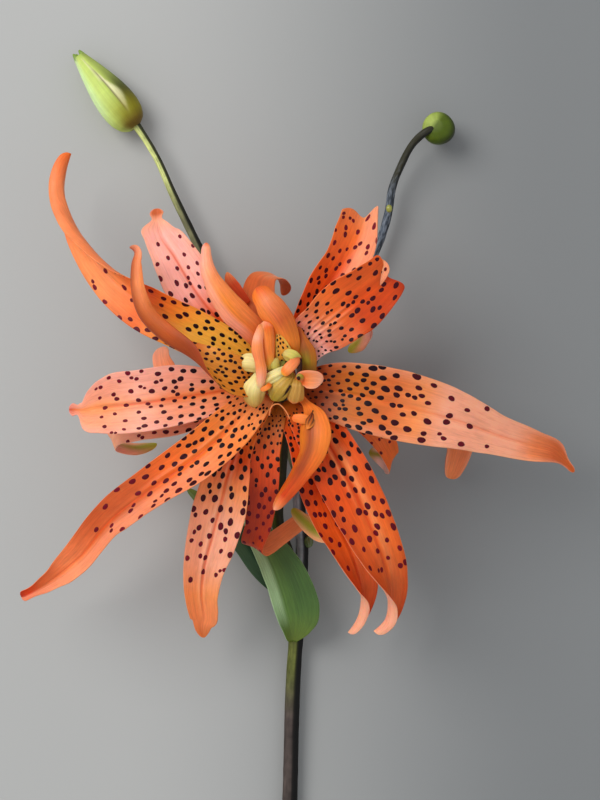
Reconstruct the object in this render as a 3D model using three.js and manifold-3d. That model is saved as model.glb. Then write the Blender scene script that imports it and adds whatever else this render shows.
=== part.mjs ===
// A cut stem of double tiger lily with one open bloom and two buds, laid on its back on a table.
// Millimetres, +Z up. The table is z = 0, the bloom faces up, +Y runs from the cut end to the buds.
import * as THREE from "three";
import { mergeVertices } from "three/addons/utils/BufferGeometryUtils.js";
import Module from "manifold-3d";

const wasm = await Module();
wasm.setup();

// Driving dimensions
const PETAL_THICKNESS = 0.7;
const LEAF_THICKNESS = 0.7;
const SEAT_GAP = 0.32; // room left between two pieces that lie on each other
const STEM_R = 2.3; // at the cut end
const STEM_TOP_R = 1.9;
const BLOOM_STALK_R = 1.9;
const LEFT_STALK_R = 1.5;
const LEFT_TOP_R = 1.2;
const RIGHT_STALK_R = 1.3;
const RIGHT_TOP_R = 1.15;
const FLOWER_BASE_R = 5.6;
const BUD_R = 5.8;
const SMALL_BUD_R = 4.8;
const STATIONS = 12; // cells along a petal
const HALF_CELLS = 3; // cells from a petal's midrib to its margin
const HEART_STATIONS = 7;
const HEART_HALF_CELLS = 2;

// Places on the flower are read on the level of its face, FACE_Z, from an eye EYE_Z above the table.
// What lies lower stands further out on the same line of sight.
const FACE_Z = 45;
const EYE_Z = 545;
const EYE_X = 5;
const EYE_Y = -5.6;

function place(x, y, z) {
  const k = (EYE_Z - z) / (EYE_Z - FACE_Z);
  return [EYE_X + (x - EYE_X) * k, EYE_Y + (y - EYE_Y) * k, z];
}

// Petals and leaves. A row is x, y, z of the midrib, the width across the curve, then in degrees
// the roll about the midrib (a plus raises the left side), the turn of the cross-section from
// margin to margin (a plus is hollow above) and how much more of that turn the right side has,
// and last how far the right side is wider than the left. An ear lets the end of one side reach
// further: how far in mm, at which share of the side, and how steeply it falls off beyond.
const PETALS = {
  outer_top: {
    keel: 10,
    rows: [
      [-1, 4, 31, 6, 0, 20],
      [-3.5, 14, 35, 9, 0, 25],
      [-6.5, 22.5, 34, 10, 0, 20],
      [-5, 28.5, 29.5, 8, 0, 20],
      [-1.5, 28.7, 25, 6, 0, 20],
      [0.8, 26.3, 21, 4.5, 0, 20],
      [0, 23.8, 19, 3.5, 0, 10],
    ],
  },
  outer_right: {
    keel: 10,
    rows: [
      [3, 4.5, 31, 5, 0, 20],
      [10, 10.6, 33.5, 6.4, 0, 25],
      [18.4, 16, 31.5, 8, 0, 30],
      [23.4, 17.2, 26, 8, 0, 30],
      [23.3, 14, 19, 7, 0, 30],
      [21.2, 10.4, 14.5, 6, 0, 30],
      [18.5, 8, 12.6, 3.8, 0, 20],
    ],
  },
  outer_right_hook: {
    keel: 15,
    blunt: true,
    rows: [
      [5, -1.5, 30, 6, 0, 20],
      [20, -6.5, 32, 9, 0, 25],
      [35, -10.5, 27, 10, 0, 30],
      [45.5, -13.5, 20, 9.5, 15, 30],
      [49.6, -17.5, 13, 8.5, 40, 40],
      [48.7, -22.5, 8.5, 7.2, 48, 50],
      [47, -27.6, 6, 4.4, 48, 60],
    ],
  },
  outer_right_low: {
    keel: 10,
    blunt: true,
    rows: [
      [4, -2.5, 30, 6, 0, 20],
      [14, -5.5, 33, 8, 0, 25],
      [22.5, -10.2, 33, 8.6, 0, 25],
      [27.3, -15.2, 30.5, 7.6, 0, 25],
      [29.9, -20, 26, 6.2, -10, 20],
      [30.6, -22.6, 20.5, 6.6, -40, 20, 0, 0.2],
      [28.3, -21, 16.5, 8.2, -65, 20, 0, 0.28],
      [24.3, -20.4, 15, 2.8, -75, 20],
    ],
  },
  outer_low: {
    keel: 10,
    rows: [
      [1, -6, 29, 6, 0, 20],
      [7, -17, 32, 10, 0, 25],
      [12, -29, 32, 10, 0, 25],
      [15.2, -37.5, 29.5, 8.6, -10, 20],
      [15, -42.6, 26, 6.6, -60, 20],
      [10.8, -43, 24.2, 5, -105, 25],
      [6, -39.4, 23.2, 4.2, -114, 25],
      [2.8, -36, 22.6, 2.6, -114, 20],
    ],
  },
  outer_left_low: {
    keel: 10,
    rows: [
      [-7, -2.5, 30, 6, 0, 20],
      [-17, -6.4, 33, 9, 5, 25],
      [-29, -10.2, 33.5, 11, 12, 25],
      [-39, -12, 30, 10.5, 12, 20],
      [-46.4, -14.4, 24, 8.6, 6, 20],
      [-47.2, -17.2, 17.5, 7.4, 0, 20],
      [-41.5, -19, 14, 6, 0, 20],
      [-35, -17.9, 13, 3.4, 0, 20],
    ],
  },
  outer_left: {
    keel: 10,
    blunt: true,
    rows: [
      [-6, 1, 30, 6, 0, 20],
      [-15, -0.8, 31.5, 8, 0, 25],
      [-23.5, -1.8, 31, 8, 0, 25],
      [-29.8, -0.4, 29, 7.4, 0, 25],
      [-32.8, 3.6, 26.6, 6.6, 0, 20],
      [-33.8, 9.2, 24, 5.6, 0, 20],
    ],
  },
  tepal_upper_left_long: {
    keel: 15,
    blunt: true,
    rows: [
      [-6, 2.5, 37, 7.5, 0, 25],
      [-16, 9, 40.5, 12, 0, 30],
      [-27, 14.5, 42, 13.5, -5, 30],
      [-39.5, 21.5, 40.5, 14.5, -12, 50, 40],
      [-49.3, 30.2, 36.5, 14, -22, 110, 95, 0.06],
      [-55.7, 39, 32, 12.4, -44, 150, 75, 0.1],
      [-59.9, 47, 29, 10, -80, 170, 40],
      [-61.7, 54.3, 27, 8, -106, 172, 10],
      [-60.5, 60.2, 26, 6.6, -100, 165],
      [-59.1, 63.4, 25.3, 4.6, -88, 145],
    ],
  },
  tepal_upper_left: {
    keel: 25,
    blunt: true,
    rows: [
      [-5, 4, 34, 7, 0, 20],
      [-13.5, 12.5, 37, 11, 0, 30],
      [-21, 20.5, 39, 15, 0, 30],
      [-26, 27.5, 39, 15.5, 0, 25],
      [-30.2, 34.5, 37, 13.2, 0, 25],
      [-33.9, 40.2, 34.7, 10.2, 0, 20, 0, 0.03],
      [-34.6, 42.8, 33.8, 8.4, 0, 20, 0, -0.16],
      [-34.9, 44.9, 32.9, 3.2, 0, 20],
      [-35, 46.4, 32, 4.2, 0, 20],
      [-35, 48, 31.5, 3.6, 0, 20],
    ],
  },
  tepal_upper_right: {
    keel: 40,
    leftEar: [0.7, 0.5, 3],
    rightEar: [4.8, 0.8, 0.8],
    rows: [
      [3, 5, 35, 7.5, 0, 20],
      [7.8, 15, 38, 11.5, 0, 30],
      [12.6, 25, 39, 14, 0, 40],
      [17.5, 34, 37, 14.6, 0, 40, 0, 0.14],
      [20.8, 40.5, 34.5, 13.8, 0, 35, 0, -0.06],
      [22.7, 45.4, 32, 10.9, 0, 25, 0, -0.3],
    ],
  },
  tepal_right_long: {
    keel: 10,
    rows: [
      [5, -2.5, 37, 9, 0, 30],
      [14, -3.2, 41, 16.5, 0, 35],
      [25, -5.3, 43.5, 20, 0, 40],
      [36, -7.8, 43.5, 20, 0, 40],
      [48, -11, 41, 17, 0, 35],
      [60, -15.3, 36, 12, 0, 40],
      [70, -18.3, 31.5, 9.5, 0, 50],
      [76.5, -20.3, 28.5, 6.5, 0, 60],
      [79.3, -23, 27, 2.6, 0, 50],
      [81.8, -25.8, 26.5, 1.8, 0, 30],
    ],
  },
  tepal_lower_right: {
    keel: 20,
    blunt: true,
    rows: [
      [3, -5, 36, 8, 0, 25],
      [10, -14, 40, 14, 0, 30],
      [16.3, -25, 43, 16.5, 0, 35],
      [22, -36.5, 42.5, 16.5, -5, 45],
      [26.5, -47, 39.5, 15, -15, 75],
      [29, -55, 35.5, 13.5, -38, 115],
      [30, -62, 31.5, 11.5, -60, 150],
      [28.9, -67.3, 29.5, 8, -72, 180],
      [25.7, -70.3, 28.5, 5, -80, 170],
    ],
  },
  tepal_lower_right_back: {
    keel: 20,
    blunt: true,
    rows: [
      [1, -6, 34, 7.5, 0, 25],
      [6.3, -16, 37, 10.5, 0, 30],
      [10, -27, 39.5, 13, 0, 35],
      [14, -37.5, 38.5, 13, -5, 45],
      [19, -47.5, 35.5, 12.5, -15, 75],
      [21.6, -55.5, 32, 11.5, -38, 115],
      [22.6, -61, 29, 9.5, -60, 150],
      [21.4, -66.5, 26.5, 6.5, -72, 180],
      [18.5, -70.7, 25.5, 4.4, -80, 170],
    ],
  },
  tepal_low: {
    keel: 20,
    rows: [
      [-5, -6.5, 36, 6, 0, 20],
      [-8, -11.5, 37.5, 6.4, 0, 25],
      [-12.4, -19, 38.5, 9, 0, 30],
      [-15.2, -26.5, 38.5, 13.6, 0, 30],
      [-16.9, -34, 37.3, 15.8, 0, 30],
      [-19.6, -44.5, 34, 15, 0, 30],
      [-21.9, -53.4, 30.3, 12, 0, 30],
      [-22.4, -60, 27, 10.2, 0, 30],
      [-21.8, -65.2, 24.3, 9, 0, 30],
      [-21.7, -67, 23.3, 8, 0, 30],
      [-22.1, -68.6, 22.5, 5.6, 0, 30],
      [-22.1, -70.6, 21.6, 4.2, 0, 30],
      [-21.9, -72.1, 21, 2.8, 0, 20],
    ],
  },
  tepal_lower_centre: {
    keel: 10,
    rows: [
      [-2, -6, 34, 8, 0, 25],
      [-4, -13, 36.5, 9.6, 0, 25],
      [-5.4, -20, 37, 10.2, 0, 25],
      [-5.9, -30, 36.5, 10.4, 0, 25],
      [-6.6, -40.5, 33, 7.6, 6, 20],
      [-8, -46.2, 28.5, 7, 26, 20],
      [-6, -47.2, 24, 6.2, 44, 20],
      [-1, -44, 20.5, 5.6, 66, 20],
      [4.6, -40, 18.2, 5, 70, 20],
      [7.6, -38, 17.4, 4.4, 70, 20],
    ],
  },
  tepal_lower_left_long: {
    keel: 30,
    blunt: true,
    rows: [
      [-5, -3.5, 38, 8, 0, 25],
      [-13.5, -12.5, 41, 13.2, 5, 35, 0, -0.05],
      [-23.5, -21.5, 43, 15.6, 15, 45, 0, -0.1],
      [-36, -30.3, 42, 14, 20, 50, 0, -0.07],
      [-47.5, -39, 38.5, 12, 15, 50],
      [-57, -50, 33.5, 10.5, 10, 50],
      [-66, -57, 29, 5.8, 0, 70],
      [-70, -59.3, 27.5, 3.8, 0, 70],
      [-73, -60.7, 26.5, 4, 0, 50],
    ],
  },
  tepal_left: {
    keel: 20,
    blunt: true,
    rows: [
      [-6.5, -1.5, 36, 8, 0, 20],
      [-16, -3, 38.5, 12, 0, 25],
      [-27, -4.7, 40.5, 17, 0, 20, 0, 0.1],
      [-39, -6.5, 40.5, 18, 0, 20, 0, 0.08],
      [-48, -7.5, 38, 17, 0, 20, 0, 0.06],
      [-52.2, -8, 36.8, 13.6, 0, 20, 0, -0.05],
      [-54.6, -8.3, 36.1, 10.4, 0, 20, 0, -0.25],
      [-55.9, -8.4, 35.7, 7, 0, 20, 0, -0.4],
      [-56.9, -8.4, 35.4, 3.2, 0, 20],
      [-58.4, -8.3, 34.9, 3.8, 0, 20],
      [-59.6, -8.3, 34.5, 3.2, 0, 30],
    ],
  },
  tepal_upper_right_front: {
    keel: 10,
    wave: 14,
    waves: 2.5,
    leftEar: [2, 0.85, 0.3],
    rightEar: [2, 0.85, 0.3],
    rows: [
      [4.5, 5, 39, 8, 0, 30],
      [8.6, 12.6, 43.5, 13.8, 0, 40],
      [12.5, 15.7, 45.3, 16.3, 0, 42],
      [16.5, 18.8, 46.6, 17.6, 0, 42],
      [20.4, 21.8, 47, 18.2, 0, 40],
      [24.4, 24.9, 46.5, 16.4, 0, 35],
      [27.6, 27.5, 45.2, 14, 0, 25],
      [29.3, 29.3, 44, 12.5, 0, 20],
    ],
  },
  petaloid_left: {
    keel: 20,
    blunt: true,
    rows: [
      [-5, -0.5, 42, 8, 5, 40],
      [-13, 0.8, 46, 12, 10, 50],
      [-20, 3.2, 48.5, 13, 35, 90],
      [-26.5, 7, 50, 12, 78, 135],
      [-34.5, 12.2, 50.5, 11, 104, 150],
      [-40, 18.5, 50, 10, 110, 150],
      [-42, 26, 49.5, 8.4, 108, 145],
      [-41.9, 32.5, 48.5, 7, 98, 130],
      [-41.3, 36, 47.5, 5.6, 80, 110],
      [-42.6, 37, 47, 3.6, 60, 80],
    ],
  },
  petaloid_top: {
    rows: [
      [-3.5, 7.5, 44, 6, 0, -60],
      [-8, 13.8, 47, 7.5, 0, -80],
      [-13.6, 19.2, 49, 8.2, 0, -90],
      [-18.2, 25.4, 49, 6.8, 0, -90],
      [-21.1, 31.5, 47, 4.8, 0, -100],
      [-21.4, 36.4, 44.6, 2.8, 0, -90],
      [-21.3, 38.4, 43.6, 2.6, 0, -60],
    ],
  },
  petaloid_centre: {
    blunt: true,
    rows: [
      [2.5, 4, 44, 5.4, 0, -60],
      [1.9, 10, 47.5, 6.5, 0, -80],
      [-0.5, 16, 50, 8.5, 0, -80],
      [-4.3, 21.3, 50, 8, 0, -80],
      [-7.2, 25.8, 48, 5.5, 0, -60],
    ],
  },
  petaloid_olive: {
    keel: -20,
    rows: [
      [7.2, 1.5, 43.5, 4.6, 0, -20],
      [7.3, 4.5, 45.2, 4.9, 0, -20],
      [7.1, 7.4, 46, 4.9, 0, -20],
      [5.9, 11, 46.2, 2.9, 0, -20],
      [4.5, 15, 46, 1.2, 0, -20],
    ],
  },
  petaloid_front: {
    rows: [
      [3.2, -2.9, 43, 3, 0, -20],
      [6.7, -6.6, 43.6, 2.4, 0, -40],
      [8.2, -9.6, 47.2, 7, 0, -70],
      [8.6, -14.3, 49.7, 10.4, 0, -90],
      [8, -19.5, 50, 9.2, 0, -90],
      [5.3, -25.1, 48.6, 6.6, 0, -95],
      [2.2, -29.9, 46.4, 5.2, 0, -95],
      [-0.6, -33.6, 44, 4.4, 0, -95],
      [-2.3, -36.3, 42.2, 3.2, 0, -80],
    ],
  },
  petaloid_spoon: {
    blunt: true,
    rows: [
      [4.3, -0.7, 46.8, 1.6, 0, 20],
      [6, 0.3, 48.5, 4.8, 0, 60],
      [8.4, 0.3, 49, 5.6, 0, 60],
      [10.5, 0.1, 48.8, 4.4, 0, 50],
      [11.5, -0.1, 48.5, 3, 0, 40],
    ],
  },
};

// The small cream, green and orange petaloids that make up the heart
const HEART = [
  {
    blunt: true,
    rows: [
      [-5.9, -3.9, 44.6, 2, 0, -70],
      [-6, -1, 48, 2.4, 0, -90],
      [-5.8, 2.3, 49.5, 3, 0, -90],
      [-6.6, 5.4, 50.5, 2.2, 0, -90],
      [-7.3, 8.6, 51, 2.9, 0, -90],
      [-7.2, 10.7, 51.2, 2.5, 0, -90],
      [-6.4, 13.2, 50.8, 2.2, 0, -90],
      [-5.6, 15.2, 50, 2.2, 0, -60],
    ],
  },
  {
    blunt: true,
    rows: [
      [-5.3, 11.2, 50, 3.4, 0, -60],
      [-5.2, 13, 50.6, 4.6, 0, -110],
      [-5.1, 14.9, 50.4, 4.8, 0, -120],
      [-5, 16.3, 49.4, 3.4, 0, -110],
    ],
  },
  {
    blunt: true,
    rows: [
      [-4, 3.8, 43.5, 4.5, 0, -60],
      [-7.4, 4.6, 46.8, 5.8, 0, -110],
      [-10.2, 5, 46.4, 6, 0, -120],
      [-12.1, 4.9, 44.6, 4, 0, -100],
    ],
  },
  {
    blunt: true,
    rows: [
      [-5.4, 2.4, 44.8, 3.4, 0, -80],
      [-6.6, -0.2, 46.8, 5.8, 0, -110],
      [-7.7, -3.2, 47, 8.4, 0, -120],
      [-7.9, -6, 45.5, 8, 0, -120],
      [-7.8, -7.7, 43.8, 5, 0, -100],
    ],
  },
  {
    rows: [
      [1.4, 3, 43.5, 5, 0, 20],
      [0.7, 7, 46.8, 5, 0, 20],
      [-1.2, 13.2, 48.5, 1.4, 0, 20],
    ],
  },
  {
    blunt: true,
    rows: [
      [4.2, 4.2, 45, 3, 0, -90],
      [2.6, 6.4, 48, 4, 0, -100],
      [0.2, 7.3, 47.4, 2.6, 0, -90],
    ],
  },
  {
    blunt: true,
    rows: [
      [-0.6, 2.6, 45, 2.2, 0, -80],
      [-1.7, 4.4, 47.5, 2.8, 0, -90],
      [-1.3, 6.1, 47.2, 2, 0, -80],
    ],
  },
  {
    blunt: true,
    rows: [
      [2.4, 3, 45.5, 2.6, 0, -80],
      [-1.2, 1.6, 48, 3, 0, -100],
      [-4.4, -0.3, 47.2, 2.8, 0, -90],
      [-5.2, -1.4, 46, 2, 0, -80],
    ],
  },
  {
    blunt: true,
    rows: [
      [2.9, 1.8, 45.6, 2.4, 0, -80],
      [1.2, -0.4, 48, 4.6, 0, -100],
      [-0.8, -2.6, 47.8, 6.4, 0, -110],
      [-2.2, -4.6, 46, 6.2, 0, -110],
      [-2.7, -5.6, 44.8, 4.6, 0, -90],
    ],
  },
  {
    blunt: true,
    rows: [
      [4.2, 1, 45.6, 2.4, 0, -80],
      [4.1, -1.6, 48, 4, 0, -100],
      [3.5, -4.2, 47.2, 5.4, 0, -110],
      [2.9, -6.4, 45.2, 4.8, 0, -100],
    ],
  },
  {
    blunt: true,
    rows: [
      [4.7, 6.6, 46.2, 1.8, 0, -40],
      [3.4, 4.9, 48.7, 2.8, 0, -50],
      [1.6, 3.1, 49.2, 3, 0, -50],
      [0.2, 1.5, 48.4, 2.2, 0, -50],
    ],
  },
  {
    blunt: true,
    rows: [
      [-3.5, -0.6, 47, 1.4, 0, -90],
      [-4.3, -1.8, 48.6, 1.8, 0, -100],
      [-4.9, -2.8, 47.8, 1.2, 0, -90],
    ],
  },
];

const LEAVES = {
  leaf_front: {
    keel: 30,
    rows: [
      [2.9, -73, 6.5, 2.6, 0, 60],
      [2.8, -71.2, 8, 6.6, 0, 60, -30, 0.25],
      [2.6, -69.3, 9.5, 9.8, 0, 60, -40, 0.35],
      [2.2, -67, 11, 13.2, 0, 60, -40, 0.4],
      [1.4, -64, 12, 15.4, 0, 60, -40, 0.4],
      [0.5, -60.5, 12.6, 15.4, 0, 60, -40, 0.38],
      [-1, -55.9, 13, 14.6, 0, 60, -40, 0.36],
      [-2.8, -51.3, 12.6, 12.8, 0, 60, -40, 0.3],
      [-6, -45, 12, 10, 0, 60, -30, 0.2],
      [-9.5, -36, 11, 3, 0, 40],
    ],
  },
  leaf_back: {
    keel: 20,
    rows: [
      [3.6, -63, 5, 3, 0, 20],
      [-0.6, -57.5, 6.5, 6.8, 0, 30],
      [-5.2, -52, 8, 8.8, 0, 30],
      [-9.5, -45.9, 9, 8.8, 0, 30],
      [-17, -38.4, 9, 6.6, 0, 30],
      [-26.5, -30.5, 9, 1.5, 0, 20],
    ],
  },
};

// Stalk centre lines: x, y, z and radius
const MAIN_STEM = [
  [0.8, -166, 2, STEM_R],
  [1.5, -140, 2.3, STEM_R],
  [2.2, -117.6, 3, STEM_R],
  [3.4, -79.5, 4.2, 2.2],
  [4.8, -61.6, 5, 2.1],
  [5.6, -46.2, 5.5, STEM_TOP_R],
  [4.8, -35, 6, STEM_TOP_R],
  [4.5, -24, 6, 1.7],
];
const BLOOM_STALK = [
  [5.2, -57, 5, BLOOM_STALK_R],
  [1.5, -48, 6.5, BLOOM_STALK_R],
  [-1.2, -40, 8, BLOOM_STALK_R],
  [-0.6, -28, 11.5, BLOOM_STALK_R],
  [0, -15, 17, BLOOM_STALK_R],
  [-0.6, -5, 23, 2.1],
  [-1, 0, 29, 3],
];
const LEFT_STALK = [
  [4.5, -26, 6, 1.6],
  [-2, -8, 6, LEFT_STALK_R],
  [-11, 12, 6, LEFT_STALK_R],
  [-19, 28, 6, LEFT_STALK_R],
  [-24, 38.5, 6, 1.3],
  [-30.5, 52, 6, LEFT_TOP_R],
  [-35.5, 63, 6, LEFT_TOP_R],
  [-39.6, 69.6, 6, LEFT_TOP_R],
  [-41.6, 72.4, 6, 1.4],
];
const RIGHT_STALK = [
  [4.5, -26, 6, 1.6],
  [6.2, -6, 6, RIGHT_STALK_R],
  [13.6, 17, 6, RIGHT_STALK_R],
  [25.3, 34, 5.5, 1.25],
  [28.5, 42, 5.5, RIGHT_TOP_R],
  [30, 48, 6, RIGHT_TOP_R],
  [30.7, 53, 6.5, RIGHT_TOP_R],
  [33.3, 60, 8, RIGHT_TOP_R],
  [37.2, 66.8, 10.5, RIGHT_TOP_R],
  [41, 69.9, 12.4, RIGHT_TOP_R],
  [43, 70.8, 11.9, RIGHT_TOP_R],
];

// Smooth curve through rows of numbers, knots spaced by the distance between them
function throughRows(rows, knots, at) {
  const n = rows.length;
  const m = [];
  const slope = (i, c) => (rows[i + 1][c] - rows[i][c]) / (knots[i + 1] - knots[i]);
  for (let i = 0; i < n; i++) {
    m.push(rows[0].map((_, c) => {
      if (i === 0 || i === n - 1) return 0;
      const before = knots[i] - knots[i - 1];
      const after = knots[i + 1] - knots[i];
      return (slope(i, c) * before + slope(i - 1, c) * after) / (before + after);
    }));
  }
  m[0] = rows[0].map((_, c) => 1.5 * slope(0, c) - 0.5 * m[1][c]);
  m[n - 1] = rows[0].map((_, c) => 1.5 * slope(n - 2, c) - 0.5 * m[n - 2][c]);
  let i = 0;
  while (i < n - 2 && at > knots[i + 1]) i++;
  const h = knots[i + 1] - knots[i];
  const t = (at - knots[i]) / h;
  const a = 2 * t ** 3 - 3 * t ** 2 + 1;
  const b = t ** 3 - 2 * t ** 2 + t;
  const c = -2 * t ** 3 + 3 * t ** 2;
  const d = t ** 3 - t ** 2;
  return rows[0].map((_, k) => a * rows[i][k] + b * h * m[i][k] + c * rows[i + 1][k] + d * h * m[i + 1][k]);
}

// The midrib in fine steps, each with its direction and the way its face looks
function midrib(rows, steps) {
  const full = rows.map((r) => {
    const [x, y, z] = place(r[0], r[1], r[2]);
    return [x, y, z, r[3], r[4] ?? 0, r[5] ?? 0, r[6] ?? 0, r[7] ?? 0];
  });
  const knots = [0];
  for (let i = 1; i < full.length; i++) {
    const a = full[i - 1];
    const b = full[i];
    knots.push(knots[i - 1] + Math.hypot(b[0] - a[0], b[1] - a[1], b[2] - a[2]));
  }
  const line = [];
  for (let k = 0; k <= steps; k++) {
    line.push(throughRows(full, knots, (knots.at(-1) * k) / steps));
  }
  const points = line.map((v) => new THREE.Vector3(v[0], v[1], v[2]));
  const along = points.map((p, k) => {
    const ahead = points[Math.min(k + 1, steps)];
    const behind = points[Math.max(k - 1, 0)];
    return ahead.clone().sub(behind).normalize();
  });
  const facing = [];
  let n = new THREE.Vector3(0, 0, 1);
  let length = 0;
  const run = [0];
  for (let k = 0; k <= steps; k++) {
    n = n.clone().addScaledVector(along[k], -n.dot(along[k])).normalize();
    facing.push(n);
    if (k > 0) {
      length += points[k].distanceTo(points[k - 1]);
      run.push(length);
    }
  }
  return { line, points, along, facing, length };
}

const rad = THREE.MathUtils.degToRad;

// The middle surface of a petal as a grid of points and normals
function petalSurface(petal, spare, stations, halfCells) {
  const steps = 64;
  const rib = midrib(petal.rows, steps);
  const grid = [];
  for (let j = 0; j <= stations; j++) {
    const t = 1 - (1 - j / stations) ** 1.2;
    const x = t * steps;
    const i = Math.min(Math.floor(x), steps - 1);
    const f = x - i;
    const centre = rib.points[i].clone().lerp(rib.points[i + 1], f);
    const T = rib.along[i].clone().lerp(rib.along[i + 1], f).normalize();
    const N = rib.facing[i].clone().lerp(rib.facing[i + 1], f);
    N.addScaledVector(T, -N.dot(T)).normalize();
    const row = rib.line[i].map((v, c) => v * (1 - f) + rib.line[i + 1][c] * f);
    const roll = rad(row[4]);
    const S0 = new THREE.Vector3().crossVectors(T, N);
    const S = S0.clone().multiplyScalar(Math.cos(roll)).addScaledVector(N, -Math.sin(roll));
    const F = N.clone().multiplyScalar(Math.cos(roll)).addScaledVector(S0, Math.sin(roll));
    const rest = (1 - t) * rib.length;
    let width = row[3];
    const rounding = Math.max(width * (petal.blunt ? 0.35 : 0.9), 1);
    if (rest < rounding && !petal.leftEar) {
      width *= Math.sqrt(Math.max(1 - ((rounding - rest) / rounding) ** 2, 0));
    }
    width = Math.max(width, 1.2);
    const cells = [];
    for (const side of [-1, 1]) {
      const half = (width / 2) * (1 + side * row[7]) + spare;
      let across = 0;
      let up = 0;
      let before = 0;
      const fine = 24;
      for (let m = 0; m <= fine; m++) {
        const s = m / fine;
        let turn = (rad(row[5] + side * row[6]) / 2) * s;
        turn += (rad(petal.keel ?? 0) / 2) * Math.tanh(s / 0.15);
        const edge = Math.min(Math.max((s - 0.35) / 0.65, 0), 1) * Math.min(1, t * 3);
        const wave = rad(petal.wave ?? 0) * edge;
        turn += wave * Math.sin(2 * Math.PI * (petal.waves ?? 3) * t + (side > 0 ? 0 : 2));
        if (m > 0) {
          across += (Math.cos((turn + before) / 2) * half) / fine;
          up += (Math.sin((turn + before) / 2) * half) / fine;
        }
        before = turn;
        if (m % (fine / halfCells)) continue;
        let reach = 0;
        const ear = side > 0 ? petal.rightEar : petal.leftEar;
        if (ear) {
          const [lift, peak, drop] = ear;
          const grow = lift * Math.max(0, (t - 0.6) / 0.4) ** 2;
          const beyond = (s - peak) / (1 - peak);
          const inside = Math.sin((Math.PI / 2) * Math.min(s / peak, 1)) ** 2;
          reach = s < peak ? grow * inside : grow * (1 - drop * beyond ** 2);
        }
        const point = centre.clone().addScaledVector(S, side * across).addScaledVector(F, up);
        point.addScaledVector(T, reach);
        if (j === 0) point.addScaledVector(T, -spare);
        if (j === stations) point.addScaledVector(T, spare);
        const normal = F.clone().multiplyScalar(Math.cos(turn)).addScaledVector(S, -side * Math.sin(turn));
        cells[halfCells + (side * m * halfCells) / fine] = { point, normal };
      }
    }
    grid.push(cells);
  }
  return grid;
}

// A closed solid from a grid: the surface moved half the thickness to each side
function sheetSolid(grid, thickness) {
  const rows = grid.length;
  const cols = grid[0].length;
  const positions = [];
  for (const way of [1, -1]) {
    for (const cells of grid) {
      for (const { point, normal } of cells) {
        const p = point.clone().addScaledVector(normal, (way * thickness) / 2);
        positions.push(p.x, p.y, p.z);
      }
    }
  }
  const top = (j, i) => j * cols + i;
  const low = (j, i) => rows * cols + j * cols + i;
  const index = [];
  for (let j = 0; j < rows - 1; j++) {
    for (let i = 0; i < cols - 1; i++) {
      index.push(top(j, i), top(j, i + 1), top(j + 1, i + 1));
      index.push(top(j, i), top(j + 1, i + 1), top(j + 1, i));
      index.push(low(j, i), low(j + 1, i + 1), low(j, i + 1));
      index.push(low(j, i), low(j + 1, i), low(j + 1, i + 1));
    }
    const r = cols - 1;
    index.push(top(j, 0), top(j + 1, 0), low(j + 1, 0), top(j, 0), low(j + 1, 0), low(j, 0));
    index.push(top(j, r), low(j, r), low(j + 1, r), top(j, r), low(j + 1, r), top(j + 1, r));
  }
  const e = rows - 1;
  for (let i = 0; i < cols - 1; i++) {
    index.push(top(0, i), low(0, i), top(0, i + 1), top(0, i + 1), low(0, i), low(0, i + 1));
    index.push(top(e, i), top(e, i + 1), low(e, i), top(e, i + 1), low(e, i + 1), low(e, i));
  }
  return geometryOf(positions, index);
}

// A closed solid from rings of points along a centre line
function ringSolid(rings) {
  const sides = rings[0].length;
  const positions = [];
  for (const ring of rings) {
    for (const p of ring) positions.push(p.x, p.y, p.z);
  }
  const first = new THREE.Vector3();
  const last = new THREE.Vector3();
  for (let i = 0; i < sides; i++) {
    first.addScaledVector(rings[0][i], 1 / sides);
    last.addScaledVector(rings.at(-1)[i], 1 / sides);
  }
  const foot = positions.length / 3;
  positions.push(first.x, first.y, first.z, last.x, last.y, last.z);
  const index = [];
  const end = (rings.length - 1) * sides;
  for (let i = 0; i < sides; i++) {
    const k = (i + 1) % sides;
    for (let j = 0; j < rings.length - 1; j++) {
      const a = j * sides;
      const b = a + sides;
      index.push(a + i, a + k, b + k, a + i, b + k, b + i);
    }
    index.push(foot, k, i, foot + 1, end + i, end + k);
  }
  return geometryOf(positions, index);
}

function geometryOf(positions, index) {
  const geometry = new THREE.BufferGeometry();
  geometry.setAttribute("position", new THREE.Float32BufferAttribute(positions, 3));
  geometry.setIndex(index);
  return geometry;
}

// A stalk: rings of a radius that changes along a smooth line, with ribs where a bud has them
function stalk(rows, sides, steps, spare = 0) {
  const points = rows.map((r) => new THREE.Vector3(...place(r[0], r[1], r[2])));
  const curve = new THREE.CatmullRomCurve3(points, false, "centripetal");
  const knots = points.map((_, i) => i / (points.length - 1));
  const rings = [];
  let side = new THREE.Vector3(0, 0, 1);
  for (let j = 0; j <= steps; j++) {
    const t = j / steps;
    const centre = curve.getPoint(t);
    const T = curve.getTangent(t);
    side = side.clone().addScaledVector(T, -side.dot(T)).normalize();
    const other = new THREE.Vector3().crossVectors(T, side);
    const [r] = throughRows(rows.map((row) => [row[3]]), knots, t);
    if (j === 0) centre.addScaledVector(T, -spare);
    if (j === steps) centre.addScaledVector(T, spare);
    const ring = [];
    for (let i = 0; i < sides; i++) {
      const a = (2 * Math.PI * i) / sides;
      const p = centre.clone().addScaledVector(side, Math.cos(a) * (r + spare));
      ring.push(p.addScaledVector(other, Math.sin(a) * (r + spare)));
    }
    rings.push(ring);
  }
  return ringSolid(rings);
}

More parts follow.
